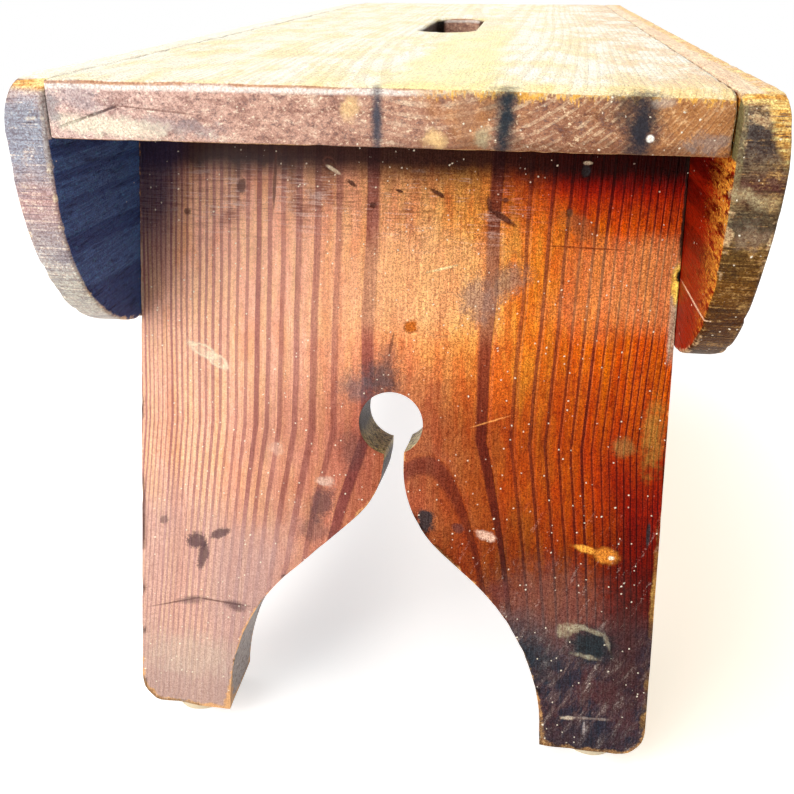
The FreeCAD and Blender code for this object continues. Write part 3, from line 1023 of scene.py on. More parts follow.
@dataclass(frozen=True)
class Metal:
    """Iron or plated steel with rust in clouds."""

    name: str
    tone: Tone
    rust: Tone
    share: float
    roughness: float

    def material(self) -> bpy.types.Material:
        """Builds the finish.

        Returns:
            The material.
        """
        shader = Shader(bpy.data.materials.new(self.name))
        place = shader.place()
        cloud = shader.noise(place, 700.0, 4.0, 0.65)
        fine = shader.noise(place, 4000.0, 3.0, 0.7)
        rusted = shader.span(cloud, 1 - self.share, 1.15 - self.share)
        colour = shader.tint(rusted, shader.tint(fine, self.tone, (0.5, 0.5, 0.5), "OVERLAY"), self.rust)
        rough = fine * 0.2 + rusted * 0.3 + self.roughness
        metallic = 0.9 - rusted * 0.75
        return shader.surface(colour, rough, shader.bump(cloud * 0.6 + fine * 0.4, 0.0001), Metallic=metallic)


@dataclass(frozen=True)
class Floor:
    """A pale floor that looks white to the camera and keeps the bench's shadow, with a painted shadow in the
    arch and painted warm bounce light right of the leg.
    """

    name: str = "floor_white"
    lift: float = 0.60

    def material(self) -> bpy.types.Material:
        """Builds the finish.

        Returns:
            The material.
        """
        shader = Shader(bpy.data.materials.new(self.name))
        place = shader.place()
        x, y = shader.part(place, "X"), shader.part(place, "Y")
        weave = shader.noise(place, 260.0, 2.0, 0.5)
        colour = shader.tint(weave, (0.80, 0.795, 0.79), (0.84, 0.835, 0.83))
        # Painted warm light bounced from the wood, on the floor right of the leg.
        right = shader.span(x, 0.08, 0.26) * shader.span(y, 0.20, -0.15)
        colour = shader.tint(right * 0.8, colour, (0.83, 0.74, 0.64))
        seen = shader.ray("Camera")
        glossy = shader.ray("Glossy")
        beside = abs(x + 0.040)
        shadow = shader.span(beside, 0.055, 0.0) * shader.span(y, 0.30, 0.10)
        shadow = shadow * shader.span(y, -0.29, -0.22)
        bright = shader.tint(shadow * 0.55, (1.0, 0.995, 0.985), (0.42, 0.46, 0.50))
        # Painted warm bounce light in the camera's glow, right of the leg.
        warm = shader.span(x, 0.085, 0.112) * shader.span(x, 0.27, 0.14)
        warm = warm * shader.span(y, 0.16, 0.0) * shader.span(y, -0.33, -0.24)
        bright = shader.tint(warm, bright, (1.0, 0.88, 0.68))
        glow = shader.tint(shader.math("MAXIMUM", seen, glossy), (0.0, 0.0, 0.0), bright)
        return shader.surface(colour, 0.9, None, Emission_Color=glow, Emission_Strength=self.lift)


# Meshes

class Outline:
    """A closed outline in the plane y = 0, drawn from point to point with lines and arcs."""

    def __init__(self, x: float, z: float, step: float = 0.0025) -> None:
        """Starts at a point.

        Args:
            x: Across.
            z: Up.
            step: The length of an arc's edges.
        """
        self.mesh = bmesh.new()
        self.step = step
        self.last = self.mesh.verts.new((x, 0.0, z))

    def line(self, x: float, z: float) -> "Outline":
        """Draws a straight run to a point."""
        self.last = bmesh.ops.extrude_vert_indiv(self.mesh, verts=[self.last])["verts"][0]
        self.last.co = (x, 0.0, z)
        return self

    def arc(self, x: float, z: float, degrees: float) -> "Outline":
        """Turns about a centre, from up towards the right where the angle is positive.

        Args:
            x: The centre, across.
            z: The centre, up.
            degrees: The angle.

        Returns:
            This outline, to go on drawing.
        """
        angle = math.radians(degrees)
        length = abs(angle) * (self.last.co - Vector((x, 0.0, z))).length
        steps = max(4, math.ceil(length / self.step))
        spun = bmesh.ops.spin(self.mesh, geom=[self.last], cent=(x, 0.0, z), axis=(0.0, 1.0, 0.0),
                              dvec=(0.0, 0.0, 0.0), angle=angle, steps=steps)
        self.last = next(item for item in spun["geom_last"] if isinstance(item, bmesh.types.BMVert))
        return self

    def filled(self) -> bmesh.types.BMesh:
        """Joins the ends and fills the outline with one face."""
        bmesh.ops.remove_doubles(self.mesh, verts=self.mesh.verts[:], dist=1e-6)
        bmesh.ops.contextual_create(self.mesh, geom=self.mesh.edges[:])
        return self.mesh


@dataclass
class Board:
    """A sawn board: an outline given thickness, softened rims and years of wear."""

    node: str
    slot: str
    finish: Wood
    rim: float = 0.0009
    cell: float = 0.0032
    rim_reach: float = 0.0035
    heave: float = 0.00018
    cut_from: float = 0.70
    sharp: float = math.radians(34)
    rim_angle: float = math.radians(12)
    nick_depth: float = 0.0022
    seed: float = 0.0

    def outline(self) -> bmesh.types.BMesh:
        """The board's flat outline. Each kind of board draws its own."""
        raise NotImplementedError

    def thickness(self) -> float:
        """How far the outline is extruded along +Y."""
        raise NotImplementedError

    def place(self, mesh: bmesh.types.BMesh) -> None:
        """Turns and moves the board from its drawing to the bench, and saws it to fit."""

    def directions(self) -> tuple[Vector, Vector, Vector]:
        """Across, through and along the board, once it is in place."""
        return Vector((1, 0, 0)), Vector((0, 1, 0)), Vector((0, 0, 1))

    def abrade(self, spot: Vector, normal: Vector) -> Vector:
        """Extra wear at a place, as a move of the surface. Each kind of board has its own."""
        return Vector()

    def extrude(self, mesh: bmesh.types.BMesh) -> None:
        """Gives the flat faces their thickness."""
        made = bmesh.ops.extrude_face_region(mesh, geom=mesh.faces[:])
        moved = [item for item in made["geom"] if isinstance(item, bmesh.types.BMVert)]
        bmesh.ops.translate(mesh, verts=moved, vec=(0.0, self.thickness(), 0.0))
        bmesh.ops.recalc_face_normals(mesh, faces=mesh.faces[:])

    def soften(self, mesh: bmesh.types.BMesh) -> None:
        """Rounds every sharp rim and notes where they are."""
        sharp = [edge for edge in mesh.edges
                 if len(edge.link_faces) == 2 and edge.calc_face_angle(0.0) > self.sharp]
        bmesh.ops.bevel(mesh, geom=sharp, affect="EDGES", offset_type="OFFSET", offset=self.rim,
                        segments=3, profile=0.5, material=-1, clamp_overlap=True)

    def divide(self, mesh: bmesh.types.BMesh) -> None:
        """Cuts the surface into cells fine enough to wear.

        Args:
            mesh: The board so far.
        """
        across, through, along = self.directions()
        for way, cell in ((across, self.cell), (along, self.cell), (through, self.thickness() / 4)):
            reach = [vert.co.dot(way) for vert in mesh.verts]
            low, high = min(reach), max(reach)
            count = max(1, round((high - low) / cell))
            for i in range(1, count):
                spot = way * (low + (high - low) * i / count)
                geometry = mesh.verts[:] + mesh.edges[:] + mesh.faces[:]
                bmesh.ops.bisect_plane(mesh, geom=geometry, dist=1e-6, plane_co=spot, plane_no=way)

    def rims(self, mesh: bmesh.types.BMesh) -> list[Vector]:
        """Places along the softened rims, before the surface is divided.

        Args:
            mesh: The board so far.

        Returns:
            The places, 2 mm apart or closer.
        """
        found = []
        for edge in filter(self.is_rim, mesh.edges):
            steps = max(1, math.ceil(edge.calc_length() / 0.002))
            start, end = (vert.co for vert in edge.verts)
            found += [start.lerp(end, i / steps) for i in range(steps + 1)]
        return found

    def is_rim(self, edge: bmesh.types.BMEdge) -> bool:
        """Whether an edge bends and isn't one of the tiny ones in a bevel's corners."""
        if len(edge.link_faces) != 2 or edge.calc_face_angle(0.0) <= self.rim_angle:
            return False
        small = min(face.calc_area() for face in edge.link_faces)
        return edge.calc_length() > self.rim * 1.5 or small > self.rim ** 2

    def note(self, mesh: bmesh.types.BMesh, rims: list[Vector]) -> None:
        """Stores how near each vertex is to a rim, and where it is sawn across or through.

        Args:
            mesh: The board so far.
            rims: Places along the rims.
        """
        tree = kdtree.KDTree(len(rims))
        for i, spot in enumerate(rims):
            tree.insert(spot, i)
        tree.balance()
        near = mesh.verts.layers.float.new("rim")
        cut = mesh.verts.layers.float.new("cut")
        wall = mesh.verts.layers.float.new("wall")
        _, through, along = self.directions()
        mesh.normal_update()
        for vert in mesh.verts:
            vert[near] = math.exp(-tree.find(vert.co)[2] / self.rim_reach)
            vert[cut] = 1.0 if abs(vert.normal.dot(along)) > self.cut_from else 0.0
            vert[wall] = 1.0 if abs(vert.normal.dot(through)) < 0.5 else 0.0

    def wear(self, mesh: bmesh.types.BMesh) -> None:
        """Moves the surface: slow heave, rubbed rims and the board's own wear.

        Args:
            mesh: The board so far.
        """
        mesh.normal_update()
        near = mesh.verts.layers.float["rim"]
        moves = []
        for vert in mesh.verts:
            spot = vert.co * 28 + Vector((self.seed, 0, 0))
            slow = noise.noise(spot) * self.heave
            nick = max(0.0, noise.noise(vert.co * 150 + Vector((0, self.seed, 0))) - 0.12)
            rub = nick * max(0.0, vert[near] - 0.45) * self.nick_depth
            moves.append(vert.normal * (slow - rub) + self.abrade(vert.co, vert.normal))
        for vert, move in zip(mesh.verts, moves):
            vert.co += move

    def build(self) -> bpy.types.Object:
        """Makes the board, which stands for its CAD node.

        Returns:
            The finished piece.
        """
        mesh = self.outline()
        self.extrude(mesh)
        self.place(mesh)
        self.soften(mesh)
        rims = self.rims(mesh)
        self.divide(mesh)
        self.note(mesh, rims)
        self.wear(mesh)
        return dressed(mesh, self.node + "_wood", self.finish.material(), (self.node,))


def dressed(mesh: bmesh.types.BMesh, name: str, material: bpy.types.Material,
            nodes: tuple[str, ...] = ()) -> bpy.types.Object:
    """Turns a bmesh into a smooth piece that rides on the bench.

    Args:
        mesh: The shape, which is freed.
        name: The piece's name.
        material: Its finish.
        nodes: The CAD nodes that it stands for.

    Returns:
        The piece.
    """
    for face in mesh.faces:
        face.smooth = True
    data = bpy.data.meshes.new(name)
    mesh.to_mesh(data)
    mesh.free()
    piece = bpy.data.objects.new(name, data)
    bpy.context.scene.collection.objects.link(piece)
    data.materials.append(material)
    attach(piece, "root")
    if nodes:
        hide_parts(*nodes)
    log.info("%s: %d faces", name, len(data.polygons))
    return piece


# The boards

@dataclass
class TopBoard(Board):
    """The top, with its hand-hold slot and the end rims worn most at the right."""

    slot_length: float = 0.125
    slot_width: float = 0.030
    slot_rim: float = 0.0018
    end_wear: float = 0.0020
    wear_start: float = -0.045

    def __post_init__(self) -> None:
        """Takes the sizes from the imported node."""
        self.low, self.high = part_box(self.node)

    def thickness(self) -> float:
        """The board's thickness."""
        return self.high[2] - self.low[2]

    def directions(self) -> tuple[Vector, Vector, Vector]:
        """The grain runs along the bench."""
        return Vector((1, 0, 0)), Vector((0, 0, 1)), Vector((0, 1, 0))

    def outline(self) -> bmesh.types.BMesh:
        """Draws the front half round half of the slot, and mirrors it.

        Returns:
            The outline as one or more flat faces.
        """
        half, end = self.high[0], self.low[1]
        radius = self.slot_width / 2
        reach = radius - self.slot_length / 2
        pen = Outline(-half, end).line(-half, 0).line(-radius, 0).line(-radius, reach)
        pen.arc(0, reach, -180).line(radius, 0).line(half, 0).line(half, end).line(-half, end)
        mesh = pen.filled()
        bmesh.ops.mirror(mesh, geom=mesh.verts[:] + mesh.edges[:] + mesh.faces[:],
                         matrix=Matrix(), merge_dist=1e-6, axis="Z")
        bmesh.ops.recalc_face_normals(mesh, faces=mesh.faces[:])
        return mesh

    def place(self, mesh: bmesh.types.BMesh) -> None:
        """Lays the board flat with its drawn face up."""
        flat = Matrix.Rotation(-math.pi / 2, 3, "X")
        bmesh.ops.rotate(mesh, verts=mesh.verts[:], cent=(0, 0, 0), matrix=flat)
        bmesh.ops.translate(mesh, verts=mesh.verts[:], vec=(0, 0, self.high[2]))

    def soften(self, mesh: bmesh.types.BMesh) -> None:
        """Rubs the slot's rims rounder than the rest.

        Args:
            mesh: The board so far.
        """
        inside = [edge for edge in mesh.edges if edge.calc_face_angle(0.0) > 1
                  and all(abs(vert.co.x) < self.slot_width and abs(vert.co.y) < self.slot_length
                          for vert in edge.verts)]
        bmesh.ops.bevel(mesh, geom=inside, affect="EDGES", offset_type="OFFSET", offset=self.slot_rim,
                        segments=5, profile=0.5, material=-1, clamp_overlap=True)
        super().soften(mesh)

    def abrade(self, spot: Vector, normal: Vector) -> Vector:
        """Wears the top edge of each end, more to the right.

        Args:
            spot: A place on the board.
            normal: The surface's direction there.

        Returns:
            The move.
        """
        share = min(1.0, max(0.0, (spot.x - self.wear_start) / (self.high[0] - self.wear_start)))
        depth = self.end_wear * share + noise.noise(spot * 60) * 0.0004
        end = math.copysign(1.0, spot.y)
        back = self.high[1] - abs(spot.y)
        below = self.high[2] - spot.z
        drop = depth * math.exp(-(back / 0.0042) ** 2) * math.exp(-below / 0.006)
        push = depth * 0.55 * math.exp(-(below / 0.0034) ** 2) * math.exp(-back / 0.006)
        return Vector((0, -end * push, -drop))


@dataclass
class Apron(Board):
    """A side apron with round shoulders and compass-swept ends."""

    side: Side = Side.LEFT
    shoulder: float = 0.010
    sweep_run: float = 0.062
    cut_from: float = 0.20
    rim: float = 0.0012
    flare: float = 0.0024

    def __post_init__(self) -> None:
        """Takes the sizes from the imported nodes."""
        self.low, self.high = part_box(self.node)
        self.sweep = self.sweep_run + self.high[1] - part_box("top_board")[1][1]

    def thickness(self) -> float:
        """The board's thickness."""
        return self.high[0] - self.low[0]

    def directions(self) -> tuple[Vector, Vector, Vector]:
        """The grain runs along the bench, and the board stands on edge."""
        return Vector((0, 0, 1)), Vector((1, 0, 0)), Vector((0, 1, 0))

    def outline(self) -> bmesh.types.BMesh:
        """Draws the board from its side.

        Returns:
            The outline as one or more flat faces.
        """
        end, low, high = self.high[1], self.low[2], self.high[2]
        pen = Outline(-end + self.sweep, low)
        pen.arc(-end + self.sweep, low + self.sweep, 90).line(-end, high - self.shoulder)
        pen.arc(-end + self.shoulder, high - self.shoulder, 90).line(end - self.shoulder, high)
        pen.arc(end - self.shoulder, high - self.shoulder, 90).line(end, low + self.sweep)
        pen.arc(end - self.sweep, low + self.sweep, 90).line(-end + self.sweep, low)
        return pen.filled()

    def place(self, mesh: bmesh.types.BMesh) -> None:
        """Turns the board along the bench, its drawn face inwards."""
        turn = Matrix.Rotation(-self.side.value * math.pi / 2, 3, "Z")
        bmesh.ops.rotate(mesh, verts=mesh.verts[:], cent=(0, 0, 0), matrix=turn)
        inner = self.low[0] if self.side is Side.RIGHT else self.high[0]
        bmesh.ops.translate(mesh, verts=mesh.verts[:], vec=(inner, 0, 0))

    def abrade(self, spot: Vector, normal: Vector) -> Vector:
        """Rubs the shoulders at the ends.

        Args:
            spot: A place on the board.
            normal: The surface's direction there.

        Returns:
            The move.
        """
        back = self.high[1] - abs(spot.y)
        below = self.high[2] - spot.z
        near = math.exp(-(back / 0.012) ** 2) * math.exp(-(below / 0.012) ** 2)
        inner = self.high[0] - self.thickness() if self.side is Side.RIGHT else -self.high[0]
        share = max(0.0, (abs(spot.x) - inner) / self.thickness())
        swell = self.flare * share * math.exp(-((below - 0.021) / 0.024) ** 2)
        swell *= math.exp(-(back / 0.030) ** 2)
        rub = normal * (-0.0014 * near * (0.6 + noise.noise(spot * 90)))
        return rub + Vector((self.side.value * swell, 0, 0))


@dataclass(frozen=True)
class ArchSide:
    """One side of the arch: its neck's and foot's distance out, the drop where the neck ends,
    the radii of its shoulder and haunch, and the slope between them in degrees."""

    neck: float
    foot: float
    start: float
    shoulder: float
    haunch: float
    slope: float


@dataclass
class Leg(Board):
    """A splayed board leg with a keyhole over an ogee arch, whose two sides differ.

    Places down the board are measured from the underside of the top along the outer face.
    """

    way: Way = Way.FRONT
    board_thickness: float = 0.0275
    set_in: float = 0.0684
    splay: float = math.radians(13.3)
    joint_half_width: float = 0.1048
    joint_drop: float = 0.0848
    keyhole: Spot = (-0.0012, 0.12037, 0.0129)
    left: ArchSide = ArchSide(0.0036, 0.0668, 0.13507, 0.036, 0.080, 45.9)
    right: ArchSide = ArchSide(0.0046, 0.0648, 0.13747, 0.046, 0.086, 50.4)
    spare: float = 0.012
    outer_corner: float = 0.011
    inner_corner: float = 0.0035
    rim: float = 0.0008
    foot_chip: float = 0.0016

    def __post_init__(self) -> None:
        """Takes the heights and the foot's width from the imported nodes."""
        self.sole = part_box(self.node)[0][2]
        self.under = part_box("top_board")[0][2]
        self.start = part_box("top_board")[0][1] + self.set_in
        self.foot_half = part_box(self.node)[1][0]
        self.drop = (self.under - self.sole) / math.cos(self.splay)

    def thickness(self) -> float:
        """The board's thickness."""
        return self.board_thickness

    def directions(self) -> tuple[Vector, Vector, Vector]:
        """The board leans, with its grain up it."""
        turn, way = self.splay, -self.way.value
        return (Vector((1, 0, 0)), Vector((0, way * math.cos(turn), -math.sin(turn))),
                Vector((0, way * math.sin(turn), math.cos(turn))))

    def arch(self, pen: Outline, side: Side) -> None:
        """Draws one side of the arch: up from the foot at the left, down to it at the right.

        Args:
            pen: The outline so far.
            side: The side to draw.
        """
        shape = self.left if side is Side.LEFT else self.right
        neck, foot, start, slope = shape.neck, shape.foot, shape.start, shape.slope
        shoulder, haunch = shape.shoulder, shape.haunch
        turn = math.radians(slope)
        sign = side.value
        slant = (foot - neck - (shoulder + haunch) * (1 - math.cos(turn))) / math.sin(turn)
        foot_start = start + shoulder * math.sin(turn) + slant * math.cos(turn) + haunch * math.sin(turn)
        haunch_end = (sign * (foot - haunch + haunch * math.cos(turn)),
                      haunch * math.sin(turn) - foot_start)
        shoulder_end = (sign * (neck + shoulder - shoulder * math.cos(turn)),
                        -start - shoulder * math.sin(turn))
        if side is Side.LEFT:
            pen.line(-foot, -foot_start).arc(haunch - foot, -foot_start, slope)
            pen.line(*shoulder_end).arc(-neck - shoulder, -start, -slope)
        else:
            pen.line(neck, -start).arc(neck + shoulder, -start, -slope)
            pen.line(*haunch_end).arc(foot - haunch, -foot_start, slope).line(foot, -self.drop - self.spare)

    def outline(self) -> bmesh.types.BMesh:
        """Draws the board with some to spare at both ends.

        Returns:
            The outline as one or more flat faces.
        """
        half, rise, fall = self.joint_half_width, self.spare, -self.drop - self.spare
        flare = (self.foot_half - half) / (self.drop - self.joint_drop)
        low_half = self.foot_half + flare * self.spare
        hole_x, hole_drop, radius = self.keyhole
        left, right = -self.left.neck - hole_x, self.right.neck - hole_x
        first = math.degrees(math.atan2(left, -math.sqrt(radius ** 2 - left ** 2)))
        last = math.degrees(math.atan2(right, -math.sqrt(radius ** 2 - right ** 2)))
        pen = Outline(-half, rise).line(-half, -self.joint_drop).line(-low_half, fall)
        pen.line(-self.left.foot, fall)
        self.arch(pen, Side.LEFT)
        pen.line(-self.left.neck, -hole_drop - math.sqrt(radius ** 2 - left ** 2))
        pen.step = 0.0012
        pen.arc(hole_x, -hole_drop, last - first)
        pen.step = 0.0025
        self.arch(pen, Side.RIGHT)
        pen.line(low_half, fall).line(half, -self.joint_drop).line(half, rise).line(-half, rise)
        return pen.filled()

    def place(self, mesh: bmesh.types.BMesh) -> None:
        """Leans the board, saws its ends level and rounds the feet's corners.

        Args:
            mesh: The board so far.
        """
        lean = Matrix.Rotation(-self.splay, 3, "X")
        bmesh.ops.rotate(mesh, verts=mesh.verts[:], cent=(0, 0, 0), matrix=lean)
        bmesh.ops.translate(mesh, verts=mesh.verts[:], vec=(0, self.start, self.under))
        for height, up in ((self.under, 1), (self.sole, -1)):
            geometry = mesh.verts[:] + mesh.edges[:] + mesh.faces[:]
            sawn = bmesh.ops.bisect_plane(mesh, geom=geometry, dist=1e-6, plane_co=(0, 0, height),
                                          plane_no=(0, 0, up), clear_outer=True)
            loose = [item for item in sawn["geom_cut"] if isinstance(item, bmesh.types.BMEdge)]
            bmesh.ops.holes_fill(mesh, edges=loose)
        for inside, radius in ((False, self.outer_corner), (True, self.inner_corner)):
            corners = [edge for edge in mesh.edges if self.is_corner(edge, inside)]
            bmesh.ops.bevel(mesh, geom=corners, affect="EDGES", offset_type="OFFSET", offset=radius,
                            segments=7, profile=0.5, material=-1, clamp_overlap=True)
        if self.way is Way.REAR:
            bmesh.ops.scale(mesh, verts=mesh.verts[:], vec=(1, -1, 1))
        bmesh.ops.recalc_face_normals(mesh, faces=mesh.faces[:])

    def is_corner(self, edge: bmesh.types.BMEdge, inside: bool) -> bool:
        """Whether an edge is one of a foot's long lower corners."""
        start, end = (vert.co for vert in edge.verts)
        low = max(start.z, end.z) < self.sole + 1e-5
        middle = (self.left.foot + self.foot_half) / 2
        return low and abs(start.y - end.y) > self.board_thickness / 2 and (abs(start.x) < middle) == inside

    def abrade(self, spot: Vector, normal: Vector) -> Vector:
        """Chips the feet's lower rims."""
        height = spot.z - self.sole
        chip = max(0.0, noise.noise(spot * 120 + Vector((0, 0, self.seed))) + 0.05) * self.foot_chip
        return normal * (-chip * math.exp(-(height / 0.006) ** 2))


# Fittings

@dataclass
class Glide:
    """A round nail-on pad with a soft lower edge and a bore."""

    node: str
    material: bpy.types.Material
    seed: float
    edge: float = 0.0016
    hole: float = 0.0014
    bore: float = 0.0035
    bore_depth: float = 0.0024
    draft: float = 0.0007

    def build(self) -> bpy.types.Object:
        """Turns the pad's section about its axis.

        Returns:
            The finished piece.
        """
        low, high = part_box(self.node)
        radius = (high[0] - low[0]) / 2
        tall = high[2] - low[2]
        pen = Outline(self.hole, tall, 0.0004).line(radius - self.draft, tall).line(radius, self.edge)
        pen.arc(radius - self.edge, self.edge, 90).line(self.bore + 0.0004, 0)
        pen.line(self.bore, 0.0004).line(self.bore, self.bore_depth).line(self.hole, self.bore_depth)
        pen.line(self.hole, tall)
        mesh = pen.mesh
        bmesh.ops.remove_doubles(mesh, verts=mesh.verts[:], dist=1e-6)
        bmesh.ops.spin(mesh, geom=mesh.verts[:] + mesh.edges[:], cent=(0, 0, 0), axis=(0, 0, 1),
                       dvec=(0, 0, 0), angle=math.tau, steps=72, use_merge=True)
        bmesh.ops.remove_doubles(mesh, verts=mesh.verts[:], dist=1e-6)
        bmesh.ops.recalc_face_normals(mesh, faces=mesh.faces[:])
        for vert in mesh.verts:
            dent = noise.noise(vert.co * 170 + Vector((self.seed, 0, 0))) * 0.00025
            vert.co.x *= 1 + dent / radius
            vert.co.y *= 1 + dent / radius
        middle = ((low[0] + high[0]) / 2, (low[1] + high[1]) / 2, 0)
        bmesh.ops.translate(mesh, verts=mesh.verts[:], vec=middle)
        crease(mesh, math.radians(40))
        return dressed(mesh, self.node + "_pad", self.material, (self.node,))


def crease(mesh: bmesh.types.BMesh, angle: float) -> None:
    """Keeps edges sharper than an angle crisp under smooth shading."""
    for edge in mesh.edges:
        edge.smooth = edge.calc_face_angle(0.0) < angle


@dataclass
class ApronNails:
    """The cut nails through one apron, whose hammered heads show in its outer face."""

    side: Side
    head: tuple[float, float] = (0.0056, 0.0022)
    neck: float = 0.0036
    tip: float = 0.0016
    length: float = 0.044
    head_thickness: float = 0.0012
    proud: float = 0.00015
    crown: float = 0.0003
    dints: float = 0.0002
    end_distance: float = 0.026
    per_side: int = 5
    first_drop: float = 0.030
    pitch: float = 0.032
    set_in: float = 0.0684
    leg_spread: float = 0.02826
    splay: float = math.radians(13.3)

    def places(self) -> dict[str, list[Vector]]:
        """Where the heads are, by the group of nails.

        Returns:
            The places of each node's nails.
        """
        low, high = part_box("top_board")
        prefix = self.side.name.lower() + "_apron_"
        apron_low, apron_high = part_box(prefix[:-1])
        x = apron_high[0] if self.side is Side.RIGHT else apron_low[0]
        reach = high[1] - self.end_distance
        top = [Vector((x, reach * (2 * i / (self.per_side - 1) - 1), (low[2] + high[2]) / 2))
               for i in range(self.per_side)]
        leg = []
        for end in (-1, 1):
            for i in range(2):
                drop = self.first_drop + self.pitch * i
                back = self.set_in + self.leg_spread / 2 - drop * math.tan(self.splay)
                leg.append(Vector((x, end * (high[1] - back), low[2] - drop)))
        return {prefix + "top_nails": top, prefix + "leg_nails": leg}

    def drawn(self, mesh: bmesh.types.BMesh, faces: list[bmesh.types.BMFace], share: float,
              height: float) -> list[bmesh.types.BMFace]:
        """Extrudes faces to a height and narrows them.

        Args:
            mesh: The nails so far.
            faces: The end of the nail being made.
            share: Its new width as a share of the old one.
            height: Its new height, with the head's top at 0.

        Returns:
            The new end.
        """
        made = bmesh.ops.extrude_face_region(mesh, geom=faces)["geom"]
        for item in made:
            if isinstance(item, bmesh.types.BMVert):
                item.co.x *= share
                item.co.z = height
        return [item for item in made if isinstance(item, bmesh.types.BMFace)]

    def nail(self, mesh: bmesh.types.BMesh, place: Vector, turn: float) -> None:
        """Adds one nail: a tapered shank with a hammered head.

        Args:
            mesh: The nails so far.
            place: The middle of its head.
            turn: How far it is turned on its axis.
        """
        known = set(mesh.verts)
        crown = bmesh.ops.create_grid(mesh, x_segments=4, y_segments=2, size=0.5)["verts"]
        bmesh.ops.scale(mesh, verts=crown, vec=(self.head[0], self.head[1], 1))
        for vert in crown:
            vert.co.z += self.crown * (1 - (2 * vert.co.x / self.head[0]) ** 2)
            vert.co.z += noise.noise(vert.co * 900 + place * 50) * self.dints
        face = list({face for vert in crown for face in vert.link_faces})
        end = self.drawn(mesh, face, 1.0, -self.head_thickness)
        end = self.drawn(mesh, end, self.neck / self.head[0], -self.head_thickness)
        self.drawn(mesh, end, self.tip / self.neck, -self.length)
        every = [vert for vert in mesh.verts if vert not in known]
        flat = Matrix.Rotation(turn + math.pi / 2, 3, "Z")
        out = Matrix.Rotation(self.side.value * math.pi / 2, 3, "Y")
        bmesh.ops.rotate(mesh, verts=every, cent=(0, 0, 0), matrix=out @ flat)
        bmesh.ops.translate(mesh, verts=every, vec=place + Vector((self.side.value * self.proud, 0, 0)))

    def build(self, material: bpy.types.Material) -> None:
        """Makes a piece for each group of nails.

        Args:
            material: Rusted iron.
        """
        for node, places in self.places().items():
            mesh = bmesh.new()
            for i, place in enumerate(places):
                self.nail(mesh, place, math.radians(9 * math.sin(i * 2.3 + len(node))))
            bmesh.ops.recalc_face_normals(mesh, faces=mesh.faces[:])
            crease(mesh, math.radians(35))
            dressed(mesh, node + "_driven", material, (node,))


# Studio

@dataclass
class Studio:
    """A pale floor, soft lamps and the camera of the reference view."""

    eye: Spot = (0.0463, -0.5481, 0.3042)
    yaw: float = 0.1457
    pitch: float = 0.3943
    lens: float = 40.09
    sensor: float = 36.0
    shift: float = -0.0844
    floor_size: float = 3.2
    fill: float = 0.40

    def put(self, name: str, data: bpy.types.ID) -> bpy.types.Object:
        """Makes an object of the data in the scene."""
        made = bpy.data.objects.new(name, data)
        bpy.context.scene.collection.objects.link(made)
        return made

    def camera(self) -> None:
        """Sets the camera."""
        data = bpy.data.cameras.new("camera")
        data.lens = self.lens
        data.sensor_width = self.sensor
        data.shift_y = self.shift
        data.clip_start = 0.01
        camera = self.put("camera", data)
        camera.location = self.eye
        camera.rotation_euler = (math.pi / 2 - self.pitch, 0.0, self.yaw)
        bpy.context.scene.camera = camera

    def lamp(self, name: str, place: Spot, aim: Spot, size: float, power: float, tone: Tone) -> None:
        """Adds a soft square lamp.

        Args:
            name: Its name.
            place: Where it is.
            aim: What it points at.
            size: The length of its sides.
            power: Its power in watts.
            tone: Its colour.
        """
        data = bpy.data.lights.new(name, "AREA")
        data.size = size
        data.energy = power
        data.color = tone
        lamp = self.put(name, data)
        lamp.location = place
        lamp.rotation_euler = (Vector(aim) - Vector(place)).to_track_quat("-Z", "Y").to_euler()

    def lamps(self) -> None:
        """Lights the bench from above and from the left of the camera."""
        self.lamp("overhead", (-0.25, 0.30, 1.5), (0, 0, 0.2), 1.8, 17.0, (1.0, 0.99, 0.97))
        self.lamp("key", (-0.95, -1.05, 0.90), (0, -0.2, 0.15), 0.9, 9.0, (1.0, 0.98, 0.95))
        self.lamp("front_panel", (-0.70, -1.35, 0.45), (0, -0.2, 0.15), 0.9, 9.5, (1.0, 0.99, 0.98))

    def world(self) -> None:
        """Surrounds the bench with white that the camera and reflections see, and a plain fill."""
        world = bpy.data.worlds.new("surround")
        bpy.context.scene.world = world
        shader = Shader(world)
        mirrored = shader.math("MAXIMUM", shader.ray("Glossy"), shader.ray("Transmission"))
        seen = shader.math("MAXIMUM", shader.ray("Camera"), mirrored)
        level = shader.node("ShaderNodeMapRange", None, {"Value": seen, "To Min": self.fill, "To Max": 1.0})
        white = {"Color": rgba((1.0, 1.0, 1.0)), "Strength": level}
        shader.finish(shader.node("ShaderNodeBackground", None, white), "ShaderNodeOutputWorld")

    def floor(self) -> None:
        """Lays the floor."""
        mesh = bmesh.new()
        bmesh.ops.create_grid(mesh, x_segments=8, y_segments=8, size=self.floor_size / 2)
        data = bpy.data.meshes.new("floor")
        mesh.to_mesh(data)
        mesh.free()
        data.materials.append(Floor().material())
        self.put("floor", data)

    def build(self) -> None:
        """Sets the whole stage."""
        bpy.context.scene.view_settings.view_transform = "Standard"
        self.camera()
        self.lamps()
        self.world()
        self.floor()


# What each board carries

LEG_TURN = math.radians(13.3)
LEG_START = (0.0, -0.2141, 0.2520)
LEG_SHIFT = (0.0,
             -(LEG_START[1] * math.cos(LEG_TURN) - LEG_START[2] * math.sin(LEG_TURN)),
             -(LEG_START[1] * math.sin(LEG_TURN) + LEG_START[2] * math.cos(LEG_TURN)))
FLAT_TURN = (math.pi / 2, 0.0, 0.0)
FLAT_SHIFT = (0.0, 0.2705, 0.0)


